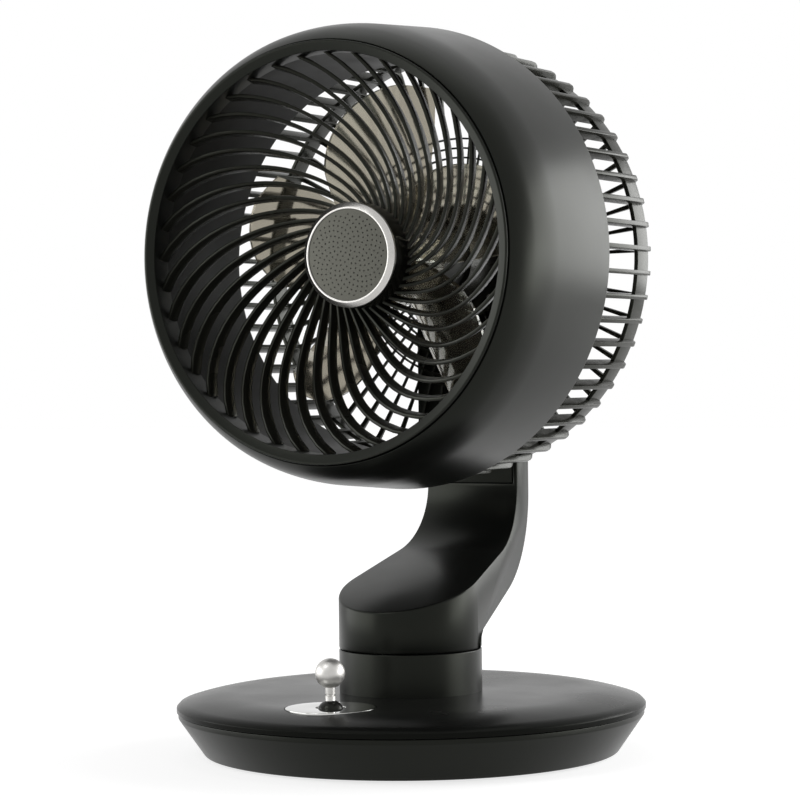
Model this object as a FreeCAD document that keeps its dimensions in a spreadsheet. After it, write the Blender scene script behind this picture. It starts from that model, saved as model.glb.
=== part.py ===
"""USB table fan: drum head with spiral grille on a swept neck and a round weighted base."""
import FreeCAD, Part
import math
import os

import Sketcher

# Driving dimensions, millimetres and degrees unless a name says count or share
SIZES = {
    # Clearances and cutting allowance
    "overrun": 5.0,
    "seam_gap": 0.3,
    "seat_gap": 0.2,
    "fit_gap": 0.02,
    "running_gap": 0.05,
    # Base pan and its rubber ring
    "foot_drop": 1.0,
    "foot_recess": 1.2,
    "foot_inner_radius": 66.0,
    "foot_outer_radius": 76.0,
    "pan_bottom_radius": 88.3,
    "pan_rim_radius": 99.3,
    "pan_cone_height": 15.8,
    "pan_rim_height": 2.0,
    "pan_wall": 2.5,
    # Base cover
    "base_radius": 100.0,
    "cover_height": 7.3,
    "cover_wall": 2.5,
    "cover_flat_radius": 74.0,
    "cover_dome_radius": 78.0,
    "cover_edge_drop": 3.9,
    "cover_edge_round": 1.4,
    "cover_bore_radius": 20.0,
    # Screws of the base
    "base_screw_circle": 80.0,
    "base_screw_count": 4.0,
    "screw_radius": 1.5,
    "screw_head_radius": 3.0,
    "screw_head_height": 1.8,
    "screw_grip": 8.0,
    "pillar_radius": 4.5,
    # Ballast, board and inlet
    "ballast_inner_radius": 30.0,
    "ballast_outer_radius": 60.0,
    "ballast_thickness": 6.0,
    "board_length": 30.0,
    "board_width": 16.0,
    "board_thickness": 1.6,
    "board_place": 78.0,
    "board_height": 5.0,
    "post_radius": 3.0,
    "post_spread": 20.0,
    "inlet_width": 9.0,
    "inlet_height": 3.2,
    "inlet_depth": 9.0,
    "inlet_place": 93.5,
    "inlet_wall": 0.4,
    "tongue_thickness": 0.7,
    # Lever, its plate, socket and switch
    "lever_place": 66.0,
    "plate_radius": 18.5,
    "plate_thickness": 1.6,
    "plate_recess": 1.5,
    "pivot_radius": 5.7,
    "pivot_depth": 2.5,
    "socket_radius": 7.8,
    "socket_height": 6.4,
    "socket_mouth_radius": 4.2,
    "stem_radius": 2.3,
    "stem_groove_radius": 1.7,
    "stem_groove_width": 0.6,
    "stem_groove_height": 7.3,
    "cross_pin_radius": 0.8,
    "cross_pin_length": 10.5,
    "tail_radius": 1.2,
    "tail_length": 11.0,
    "knob_radius": 6.1,
    "knob_height": 16.4,
    "knob_bore_depth": 4.0,
    "switch_length": 14.0,
    "switch_width": 10.0,
    "switch_height": 7.0,
    "switch_slot_length": 9.0,
    "switch_slot_width": 4.0,
    "switch_slot_depth": 4.5,
    # Swivel
    "collar_radius": 30.5,
    "collar_height": 17.9,
    "collar_wall": 2.5,
    "collar_top_wall": 4.0,
    "sleeve_wall": 3.0,
    "sleeve_lift": 1.6,
    "bush_wall": 3.0,
    "spindle_radius": 9.0,
    "spindle_wall": 3.0,
    "spindle_socket": 8.0,
    "washer_inner_radius": 13.0,
    "washer_outer_radius": 25.0,
    "washer_recess": 1.0,
    "nut_radius": 14.0,
    "nut_height": 6.0,
    # Neck
    "neck_front_height": 17.4,
    "neck_front_angle": 18.0,
    "neck_front_place": 57.0,
    "neck_front_bend": 30.0,
    "neck_rear_height": 2.0,
    "neck_rear_angle": 23.9,
    "neck_rear_bend": 46.0,
    "neck_junction_place": 6.5,
    "neck_junction_bend": 7.0,
    "neck_thickness": 15.5,
    "neck_taper": 8.0,
    "neck_wall": 2.6,
    "neck_panel_thickness": 2.2,
    "neck_floor": 12.0,
    # Tilt hinge
    "tilt_height": 179.0,
    "tilt_pin_radius": 3.0,
    "tilt_cap_radius": 5.0,
    "tilt_cap_depth": 1.5,
    "lug_width": 16.0,
    "lug_radius": 7.0,
    "lug_root": 11.0,
    "tilt_washer_radius": 6.5,
    "tilt_washer_thickness": 1.1,
    "hinge_slot_depth": 18.0,
    # Head
    "head_height": 210.6,
    "drum_rear": -4.5,
    "drum_shoulder": -44.7,
    "drum_shoulder_radius": 95.2,
    "drum_side_angle": 4.36,
    "drum_flank_bend": 72.0,
    "drum_flank_angle": 16.3,
    "drum_nose_bend": 24.5,
    "drum_nose_angle": 46.0,
    "drum_wall": 2.4,
    "duct_radius": 82.0,
    "duct_wall": 2.0,
    "boss_radius": 4.0,
    "boss_length": 14.0,
    "boss_circle": 86.9,
    "shroud_head_radius": 2.3,
    "shroud_screw_count": 6.0,
    # Front grille
    "bezel_inner_radius": 81.5,
    "bezel_front": -71.2,
    "bezel_depth": 11.2,
    "fin_count": 40.0,
    "fin_thickness": 1.9,
    "fin_angle": 41.0,
    "fin_rim_front": -68.6,
    "fin_hub_front": -41.0,
    "fin_rim_depth": 5.5,
    "fin_hub_depth": 4.0,
    "fin_dish_bend": 160.0,
    "hub_radius": 21.8,
    "hub_wall": 1.8,
    "hub_face": -46.0,
    "hub_depth": 13.0,
    "hub_ring_inner_radius": 18.9,
    "hub_ring_height": 2.5,
    "hub_ring_edge": 1.0,
    "hub_plate_thickness": 2.0,
    # Rear grille
    "rib_count": 57.0,
    "rib_thickness": 2.0,
    "cage_radius": 94.6,
    "cage_depth": 53.0,
    "cage_bend": 6.0,
    "cage_bar_height": 5.0,
    "cage_back_thickness": 2.5,
    "cage_flange_inner_radius": 84.5,
    "cage_flange_radius": 97.0,
    "cage_flange_thickness": 2.4,
    "hoop_radius": 92.0,
    "hoop_thickness": 1.8,
    "hoop_width": 10.8,
    "hoop_inset": 1.6,
    "ring_width": 1.2,
    "ring_depth": 2.0,
    "ring_count": 7.0,
    "ring_pitch": 4.2,
    "hub_plate_radius": 26.0,
    # Motor
    "motor_radius": 17.0,
    "motor_wall": 1.2,
    "motor_front": 4.0,
    "motor_seat": 5.5,
    "cup_wall": 2.4,
    "cup_depth": 23.0,
    "bearing_radius": 6.5,
    "bearing_width": 5.0,
    "shaft_radius": 2.5,
    "shaft_front": -24.0,
    "shaft_rear_gap": 1.0,
    "rotor_radius": 11.0,
    "stator_inner_radius": 11.8,
    "core_margin": 3.0,
    # Tilt bracket on the back of the head
    "bracket_half_width": 22.5,
    "bracket_thickness": 3.0,
    "bracket_top": 20.0,
    "bracket_drop": 84.0,
    "bracket_corner": 8.0,
    "bracket_screw_circle": 22.5,
    "bracket_screw_count": 4.0,
    "motor_screw_circle": 11.5,
    "motor_screw_count": 3.0,
    # Impeller
    "blade_count": 5.0,
    "blade_tip_radius": 73.0,
    "blade_thickness": 1.8,
    "blade_root_place": 15.0,
    "blade_mid_place": 38.0,
    "blade_end_place": 80.0,
    "blade_root_chord": 32.4,
    "blade_mid_chord": 45.2,
    "blade_end_chord": 48.7,
    "blade_root_pitch": 46.0,
    "blade_mid_pitch": 34.0,
    "blade_end_pitch": 21.0,
    "blade_root_camber": 40.0,
    "blade_mid_camber": 70.0,
    "blade_end_camber": 95.0,
    "blade_root_sweep": -2.2,
    "blade_mid_sweep": -2.4,
    "blade_end_sweep": 1.6,
    "blade_lead": 21.0,
    "blade_tip_bend": 34.4,
    "blade_centre": -13.0,
    "blade_clock": 95.0,
    "impeller_hub_radius": 20.0,
    "impeller_front": -29.0,
    "impeller_rear": -1.5,
    "impeller_wall": 2.0,
    "impeller_nose_round": 5.0,
    "impeller_boss_radius": 5.5,
    "spinner_radius": 5.0,
    "spinner_height": 3.0,
}

doc = FreeCAD.newDocument("usb_table_fan")
sheet = doc.addObject("Spreadsheet::Sheet", "Sizes")


class Size:
    """A size with its number and the sheet expression that gives it."""

    def __init__(self, number, text):
        self.number = number
        self.text = text

    def __add__(self, other):
        other = as_size(other)
        return Size(self.number + other.number, f"({self.text} + {other.text})")

    def __sub__(self, other):
        other = as_size(other)
        return Size(self.number - other.number, f"({self.text} - {other.text})")

    def __mul__(self, other):
        other = as_size(other)
        return Size(self.number * other.number, f"({self.text} * {other.text})")

    def __truediv__(self, other):
        other = as_size(other)
        return Size(self.number / other.number, f"({self.text} / {other.text})")

    def __neg__(self):
        return Size(-self.number, f"(0 - {self.text})")


class Sheet:
    """The named sizes, each read as an attribute."""

    def __getattr__(self, name):
        return Size(SIZES[name], f"Sizes.{name}")


def as_size(value):
    """A plain number becomes a size; a size stays as it is."""
    if isinstance(value, Size):
        return value
    return Size(float(value), repr(float(value)))


def sine(angle):
    return Size(math.sin(math.radians(angle.number)), f"sin({angle.text} * 1 deg)")


def cosine(angle):
    return Size(math.cos(math.radians(angle.number)), f"cos({angle.text} * 1 deg)")


def tangent(angle):
    return Size(math.tan(math.radians(angle.number)), f"tan({angle.text} * 1 deg)")


def root(value):
    return Size(math.sqrt(value.number), f"sqrt({value.text})")


def natural_log(value):
    return Size(math.log(value.number), f"log({value.text})")


for row, (alias, number) in enumerate(SIZES.items(), start=1):
    sheet.set(f"A{row}", alias)
    sheet.set(f"B{row}", str(number))
    sheet.setAlias(f"B{row}", alias)
doc.recompute()

s = Sheet()
ZERO = as_size(0)
FULL_TURN = 360.0
LEAST_CUT = 0.5


def pin(sketch, geometry, point, across, up):
    """Fix one point of a sketch at two sizes from its origin."""
    for size, kind, axis in ((across, "DistanceX", -2), (up, "DistanceY", -1)):
        size = as_size(size)
        if size.number == 0:
            sketch.addConstraint(Sketcher.Constraint("PointOnObject", geometry, point, axis))
            continue
        index = sketch.addConstraint(Sketcher.Constraint(kind, -1, 1, geometry, point, size.number))
        sketch.setExpression(f"Constraints[{index}]", size.text)


def arc_between(start, end, bend):
    """Minor arc from start to end; a positive bend lies to the left of the way from start to end."""
    chord = end - start
    middle = (start + end) * 0.5
    left = FreeCAD.Vector(-chord.y, chord.x, 0).normalize()
    reach = math.sqrt(bend ** 2 - chord.Length ** 2 / 4)
    centre = middle - left * math.copysign(reach, bend)
    first = math.atan2(start.y - centre.y, start.x - centre.x)
    last = math.atan2(end.y - centre.y, end.x - centre.x)
    if bend > 0:
        first, last = last, first
    circle = Part.Circle(centre, FreeCAD.Vector(0, 0, 1), abs(bend))
    return Part.ArcOfCircle(circle, first, last if last > first else last + 2 * math.pi)


def draw(sketch, corners):
    """Closed outline through corners (across, up) or (across, up, bend radius of the side that follows)."""
    corners = [tuple(as_size(value) for value in corner) for corner in corners]
    spots = [FreeCAD.Vector(corner[0].number, corner[1].number, 0) for corner in corners]
    sides = []
    for index, corner in enumerate(corners):
        start, end = spots[index], spots[(index + 1) % len(spots)]
        if len(corner) == 3:
            geometry = sketch.addGeometry(arc_between(start, end, corner[2].number))
            clockwise = corner[2].number > 0
            sides.append((geometry, 2 if clockwise else 1, 1 if clockwise else 2))
            bend = corner[2] if clockwise else -corner[2]
            radius = sketch.addConstraint(Sketcher.Constraint("Radius", geometry, bend.number))
            sketch.setExpression(f"Constraints[{radius}]", bend.text)
        else:
            sides.append((sketch.addGeometry(Part.LineSegment(start, end)), 1, 2))
    for index, (geometry, first, last) in enumerate(sides):
        following = sides[(index + 1) % len(sides)]
        sketch.addConstraint(Sketcher.Constraint("Coincident", geometry, last, following[0], following[1]))
        pin(sketch, geometry, first, corners[index][0], corners[index][1])


def draw_circle(sketch, across, up, radius):
    """Circle about a fixed centre."""
    across, up, radius = as_size(across), as_size(up), as_size(radius)
    centre = FreeCAD.Vector(across.number, up.number, 0)
    geometry = sketch.addGeometry(Part.Circle(centre, FreeCAD.Vector(0, 0, 1), radius.number))
    pin(sketch, geometry, 3, across, up)
    index = sketch.addConstraint(Sketcher.Constraint("Radius", geometry, radius.number))
    sketch.setExpression(f"Constraints[{index}]", radius.text)


def box_outline(across, up, width, height):
    """Rectangle about a centre."""
    half, rise = as_size(width) / 2, as_size(height) / 2
    left, right = as_size(across) - half, as_size(across) + half
    low, high = as_size(up) - rise, as_size(up) + rise
    return [(left, low), (right, low), (right, high), (left, high)]


def new_body(label, height=None):
    """Empty body, lifted to a height of the sheet where one is given."""
    body = doc.addObject("PartDesign::Body", label)
    body.Label = label
    if height is not None:
        body.setExpression("Placement.Base.z", height.text)
    return body


def origin_of(body, role):
    """Origin plane or axis of a body."""
    return next(feature for feature in body.Origin.OriginFeatures if feature.Role == role)


def sketch_on(body, role, lift=None, outlines=(), circles=()):
    """Sketch on an origin plane, moved along its normal by lift."""
    sketch = body.newObject("Sketcher::SketchObject", "Outline")
    sketch.AttachmentSupport = [(origin_of(body, role), "")]
    sketch.MapMode = "FlatFace"
    if lift is not None:
        sketch.setExpression("AttachmentOffset.Base.z", as_size(lift).text)
    for corners in outlines:
        draw(sketch, corners)
    for circle in circles:
        draw_circle(sketch, *circle)
    return sketch


def sweep_length(feature, length, symmetric, reverse):
    """Set the length and sense of a pad or a pocket."""
    feature.setExpression("Length", as_size(length).text)
    feature.SideType = "Symmetric" if symmetric else "One side"
    feature.Reversed = reverse


def pad(body, sketch, length, symmetric=False, reverse=False):
    feature = body.newObject("PartDesign::Pad", "Pad")
    feature.Refine = False
    feature.Profile = sketch
    sweep_length(feature, length, symmetric, reverse)
    return feature


def cut(body, sketch, length, symmetric=False, reverse=False):
    """Pocket that has to take material away."""
    doc.recompute()
    before = body.Shape.Volume
    feature = body.newObject("PartDesign::Pocket", "Pocket")
    feature.Refine = False
    feature.Profile = sketch
    sweep_length(feature, length, symmetric, reverse)
    doc.recompute()
    if before - body.Shape.Volume < LEAST_CUT:
        raise RuntimeError(f"a pocket of {body.Label} cuts nothing")
    return feature


def turn(body, sketch, axis, kind="Revolution"):
    """Full turn of a sketch about one of its axes; a Groove has to take material away."""
    doc.recompute()
    before = body.Shape.Volume if kind == "Groove" else 0
    feature = body.newObject(f"PartDesign::{kind}", kind)
    feature.Refine = False
    feature.Profile = sketch
    feature.ReferenceAxis = (sketch, [axis])
    feature.Angle = FULL_TURN
    doc.recompute()
    if kind == "Groove" and before - body.Shape.Volume < LEAST_CUT:
        raise RuntimeError(f"a groove of {body.Label} cuts nothing")
    return feature


def around(body, feature, role, count):
    """Polar pattern of a feature about an axis of the body."""
    pattern = body.newObject("PartDesign::PolarPattern", "Pattern")
    pattern.Refine = False
    pattern.Originals = [feature]
    pattern.Axis = (origin_of(body, role), [""])
    pattern.Angle = FULL_TURN
    pattern.setExpression("Occurrences", as_size(count).text)
    body.Tip = pattern
    return pattern


def upright(label, *outlines):
    """Piece turned about the vertical axis, drawn as (radius, height)."""
    body = new_body(label)
    turn(body, sketch_on(body, "YZ_Plane", outlines=outlines), "V_Axis")
    return body


def axial(label, *outlines):
    """Piece turned about the fan's axis, drawn as (place along the axis, radius)."""
    body = new_body(label, s.head_height)
    turn(body, sketch_on(body, "YZ_Plane", outlines=outlines), "H_Axis")
    return body


def tube(inner, outer, start, end):
    """Outline of a tube about the fan's axis."""
    return [(start, inner), (end, inner), (end, outer), (start, outer)]


def ring(inner, outer, low, high):
    """Outline of a ring about the vertical axis."""
    return [(inner, low), (outer, low), (outer, high), (inner, high)]


def screws(label, role, axis, lift, place, count, grip, head_radius, height=None):
    """Ring of screws; each is a shank along the normal of the plane and a head behind it."""
    body = new_body(label, height)
    body.AllowCompound = True
    shank = pad(body, sketch_on(body, role, lift, circles=[place + (s.screw_radius,)]), grip)
    around(body, shank, axis, count)
    doc.recompute()
    head = pad(body, sketch_on(body, role, lift, circles=[place + (head_radius,)]), s.screw_head_height, reverse=True)
    around(body, head, axis, count)
    return body


def diagonal(radius):
    """Place half-way between two axes of a sketch, at a radius."""
    return (radius / root(as_size(2)), radius / root(as_size(2)))


# Heights of the base, from the table upwards
floor_top = s.foot_drop + s.pan_wall
band_low = s.foot_drop + s.pan_cone_height
pan_top = band_low + s.pan_rim_height
cover_low = pan_top + s.seam_gap
cover_top = cover_low + s.cover_height
cover_under = cover_top - s.cover_wall
collar_top = cover_top + s.collar_height
neck_low = collar_top + s.seam_gap
plate_top = cover_top - s.plate_recess + s.plate_thickness
pivot_height = plate_top - s.pivot_depth
base_screw_place = diagonal(s.base_screw_circle)
neck_rear_place = s.neck_front_place + s.neck_thickness
tilt_place = s.neck_front_place + s.neck_thickness / 2
switch_low = pivot_height - s.tail_length + s.switch_slot_depth - s.switch_height - s.seam_gap


def build_base():
    """Weighted base with its collar, board, inlet and switch."""
    wall = s.pan_wall
    pan = upright("base_pan", [
        (ZERO, s.foot_drop), (s.foot_inner_radius, s.foot_drop),
        (s.foot_inner_radius, s.foot_drop + s.foot_recess), (s.foot_outer_radius, s.foot_drop + s.foot_recess),
        (s.foot_outer_radius, s.foot_drop), (s.pan_bottom_radius, s.foot_drop), (s.pan_rim_radius, band_low),
        (s.pan_rim_radius, pan_top), (s.pan_rim_radius - wall, pan_top), (s.pan_rim_radius - wall, band_low),
        (s.pan_bottom_radius - wall, floor_top), (ZERO, floor_top)])
    board_low = floor_top + s.board_height
    pad(pan, sketch_on(pan, "XY_Plane", floor_top, circles=[
        (side * s.post_spread / 2, s.board_place, s.post_radius) for side in (as_size(-1), as_size(1))]), s.board_height)
    pad(pan, sketch_on(pan, "XY_Plane", floor_top, circles=[(ZERO, -s.lever_place, s.post_radius)]),
        switch_low - floor_top)
    head_seat = s.foot_drop + s.screw_head_height
    hole = cut(pan, sketch_on(pan, "XY_Plane", s.foot_drop, circles=[
        base_screw_place + (s.screw_radius + s.seat_gap,)]), wall + s.overrun, reverse=True)
    counterbore = cut(pan, sketch_on(pan, "XY_Plane", s.foot_drop, circles=[
        base_screw_place + (s.screw_head_radius + s.seat_gap,)]), s.screw_head_height, reverse=True)
    for feature in (hole, counterbore):
        around(pan, feature, "Z_Axis", s.base_screw_count)
        doc.recompute()
    mouth_height = board_low + s.board_thickness + s.inlet_height / 2
    cut(pan, sketch_on(pan, "XZ_Plane", -s.pan_rim_radius, outlines=[
        box_outline(ZERO, mouth_height, s.inlet_width + s.seat_gap * 2, s.inlet_height + s.seat_gap * 2)]),
        s.pan_rim_radius - s.board_place, reverse=True)

    edge = cover_top - s.cover_edge_drop
    inner = s.base_radius - s.cover_wall
    cover = upright("base_cover", [
        (s.cover_bore_radius, cover_under), (s.cover_flat_radius, cover_under),
        (inner, edge - s.cover_edge_round), (inner, cover_low),
        (s.base_radius, cover_low), (s.base_radius, edge - s.cover_edge_round, -s.cover_edge_round),
        (s.base_radius - s.cover_edge_round, edge, -s.cover_dome_radius), (s.cover_flat_radius, cover_top),
        (s.cover_bore_radius, cover_top)])
    cut(cover, sketch_on(cover, "XY_Plane", cover_top - s.plate_recess, circles=[
        (ZERO, -s.lever_place, s.plate_radius + s.seam_gap)]), s.overrun, reverse=True)
    cut(cover, sketch_on(cover, "XY_Plane", cover_top, circles=[
        (ZERO, -s.lever_place, s.pivot_radius + s.seam_gap)]), s.overrun)
    pillar = pad(cover, sketch_on(cover, "XY_Plane", floor_top, circles=[
        base_screw_place + (s.pillar_radius,)]), cover_under - floor_top)
    around(cover, pillar, "Z_Axis", s.base_screw_count)
    pilot = cut(cover, sketch_on(cover, "XY_Plane", floor_top, circles=[
        base_screw_place + (s.screw_radius + s.fit_gap,)]), s.screw_grip, reverse=True)
    around(cover, pilot, "Z_Axis", s.base_screw_count)

    screws("base_screws", "XY_Plane", "Z_Axis", head_seat, base_screw_place, s.base_screw_count,
           s.screw_grip, s.screw_head_radius)
    upright("foot_ring", ring(s.foot_inner_radius, s.foot_outer_radius, ZERO, s.foot_drop + s.foot_recess))
    upright("ballast_plate", ring(s.ballast_inner_radius, s.ballast_outer_radius, floor_top,
                                  floor_top + s.ballast_thickness))

    board = new_body("control_board")
    pad(board, sketch_on(board, "XY_Plane", board_low, outlines=[
        box_outline(ZERO, s.board_place, s.board_length, s.board_width)]), s.board_thickness)

    inlet = new_body("usb_inlet")
    pad(inlet, sketch_on(inlet, "XZ_Plane", -s.inlet_place, outlines=[
        box_outline(ZERO, mouth_height, s.inlet_width, s.inlet_height)]), s.inlet_depth)
    tongue_low = mouth_height - s.tongue_thickness / 2
    half = s.inlet_width / 2 - s.inlet_wall
    low = mouth_height - s.inlet_height / 2 + s.inlet_wall
    high = mouth_height + s.inlet_height / 2 - s.inlet_wall
    cut(inlet, sketch_on(inlet, "XZ_Plane", -s.inlet_place, outlines=[
        [(-half, low), (half, low), (half, tongue_low), (-half, tongue_low)],
        [(-half, tongue_low + s.tongue_thickness), (half, tongue_low + s.tongue_thickness), (half, high), (-half, high)]]),
        s.inlet_depth - s.inlet_wall, reverse=True)

    collar_wall_radius = s.collar_radius - s.collar_wall
    bush_radius = s.spindle_radius + s.bush_wall
    sleeve_low = cover_top + s.sleeve_lift
    under = collar_top - s.collar_top_wall
    recess = collar_top - s.washer_recess
    upright("swivel_collar", [
        (bush_radius, sleeve_low), (bush_radius + s.sleeve_wall, sleeve_low), (bush_radius + s.sleeve_wall, under),
        (collar_wall_radius, under), (collar_wall_radius, cover_top), (s.collar_radius, cover_top),
        (s.collar_radius, collar_top), (s.washer_outer_radius, collar_top), (s.washer_outer_radius, recess),
        (bush_radius, recess)])
    upright("swivel_bush", ring(s.spindle_radius + s.running_gap, bush_radius - s.fit_gap, sleeve_low, recess))
    upright("swivel_washer", ring(s.washer_inner_radius, s.washer_outer_radius - s.seat_gap, recess, neck_low))


def build_lever():
    """Ball lever with its polished plate, socket and switch."""
    stand = new_body("lever_plate")
    pad(stand, sketch_on(stand, "XY_Plane", plate_top - s.plate_thickness, circles=[
        (ZERO, -s.lever_place, s.plate_radius), (ZERO, -s.lever_place, s.pivot_radius + s.seam_gap)]),
        s.plate_thickness)

    def on_lever(label, outline):
        """Piece turned about the lever, drawn as (radius, height above the pivot)."""
        body = new_body(label)
        turn(body, sketch_on(body, "YZ_Plane", outlines=[outline]), "V_Axis")
        return to_pivot(body)

    def to_pivot(body):
        """Bring a piece drawn about the origin to the lever's pivot."""
        body.setExpression("Placement.Base.y", (-s.lever_place).text)
        body.setExpression("Placement.Base.z", pivot_height.text)
        return body

    bore = s.stem_radius + s.fit_gap
    reach = root(s.pivot_radius * s.pivot_radius - bore * bore)
    ball = on_lever("lever_pivot_ball", [(bore, -reach, s.pivot_radius * -1), (bore, reach)])
    groove_low = s.stem_groove_height
    groove_high = groove_low + s.stem_groove_width
    knob_seat = s.knob_height - s.knob_radius + s.knob_bore_depth
    stem = on_lever("lever_stem", [
        (ZERO, -s.tail_length), (s.tail_radius, -s.tail_length), (s.tail_radius, -s.pivot_radius),
        (s.stem_radius, -s.pivot_radius), (s.stem_radius, groove_low), (s.stem_groove_radius, groove_low),
        (s.stem_groove_radius, groove_high), (s.stem_radius, groove_high), (s.stem_radius, knob_seat),
        (ZERO, knob_seat)])
    for body in (ball, stem):
        cut(body, sketch_on(body, "YZ_Plane", circles=[(ZERO, ZERO, s.cross_pin_radius + s.fit_gap)]),
            s.pivot_radius * 2, symmetric=True)
    cross_pin = to_pivot(new_body("lever_cross_pin"))
    pad(cross_pin, sketch_on(cross_pin, "YZ_Plane", circles=[(ZERO, ZERO, s.cross_pin_radius)]),
        s.cross_pin_length, symmetric=True)
    mouth = s.knob_height - root(s.knob_radius * s.knob_radius - bore * bore)
    on_lever("lever_knob", [
        (ZERO, knob_seat), (bore, knob_seat), (bore, mouth, s.knob_radius * -1),
        (s.knob_radius, s.knob_height, s.knob_radius * -1), (ZERO, s.knob_height + s.knob_radius)])

    cavity = s.pivot_radius + s.running_gap
    socket_top = cover_under - pivot_height
    socket_low = socket_top - s.socket_height
    rise = root(cavity * cavity - s.socket_mouth_radius * s.socket_mouth_radius)
    lip = root(cavity * cavity - socket_top * socket_top)
    on_lever("lever_socket", [
        (s.socket_mouth_radius, socket_low), (s.socket_radius, socket_low), (s.socket_radius, socket_top),
        (lip, socket_top, cavity), (s.socket_mouth_radius, -rise)])

    switch = new_body("selector_switch")
    pad(switch, sketch_on(switch, "XY_Plane", switch_low, outlines=[
        box_outline(ZERO, -s.lever_place, s.switch_width, s.switch_length)]), s.switch_height)
    cut(switch, sketch_on(switch, "XY_Plane", switch_low + s.switch_height, outlines=[
        box_outline(ZERO, -s.lever_place, s.switch_slot_width, s.switch_slot_length)]), s.switch_slot_depth)


def neck_profile(inset):
    """Side outline of the swept neck, drawn in by inset on every side: front, over the top, and the rear."""
    def bend_ends(place, line_height, angle, bend):
        """Start and end of the round bend between a sloping line and an upright one."""
        corner = line_height + place * tangent(angle)
        reach = bend * tangent((as_size(90) - angle) / 2)
        return ((place - reach * cosine(angle), corner - reach * sine(angle)), (place, corner + reach))

    front_line = neck_low + s.neck_front_height + s.collar_radius * tangent(s.neck_front_angle)
    front_line = front_line - inset / cosine(s.neck_front_angle)
    rear_line = neck_low + s.neck_rear_height + inset / cosine(s.neck_rear_angle)
    front = bend_ends(s.neck_front_place + inset, front_line, s.neck_front_angle, s.neck_front_bend + inset)
    rear = bend_ends(neck_rear_place - inset, rear_line, s.neck_rear_angle, s.neck_rear_bend - inset)
    return front_line, front, rear_line, rear


def extrusion(name, outline, role_normal, length, lift=None):
    """Straight sweep of a sketch of its own, both ways along X or upwards from lift."""
    sketch = doc.addObject("Sketcher::SketchObject", f"{name}_outline")
    if role_normal == "X":
        sketch.Placement = FreeCAD.Placement(FreeCAD.Vector(), FreeCAD.Rotation(
            FreeCAD.Vector(0, 1, 0), FreeCAD.Vector(0, 0, 1), FreeCAD.Vector(1, 0, 0), "ZXY"))
    draw(sketch, outline)
    body = doc.addObject("Part::Extrusion", name)
    body.Base = sketch
    body.DirMode = "Normal"
    body.Solid = True
    body.Symmetric = role_normal == "X"
    body.setExpression("LengthFwd", as_size(length).text)
    if lift is not None:
        sketch.setExpression("Placement.Base.z", as_size(lift).text)
    return body


def boolean(kind, label, base, tool):
    """Common or cut of two objects of the document."""
    result = doc.addObject(f"Part::{kind}", label)
    result.Label = label
    result.Base = base
    result.Tool = tool
    return result


def neck_plan(inset):
    """Plan of the neck: round at the collar, with straight sides that draw in towards the back."""
    radius = s.collar_radius - inset
    back = neck_rear_place + s.overrun
    half = (radius - back * sine(s.neck_taper)) / cosine(s.neck_taper)
    touch, rear = radius * cosine(s.neck_taper), radius * sine(s.neck_taper)
    return [(half, back), (-half, back), (-touch, rear, -radius), (ZERO, -radius, -radius), (touch, rear)]


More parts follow.
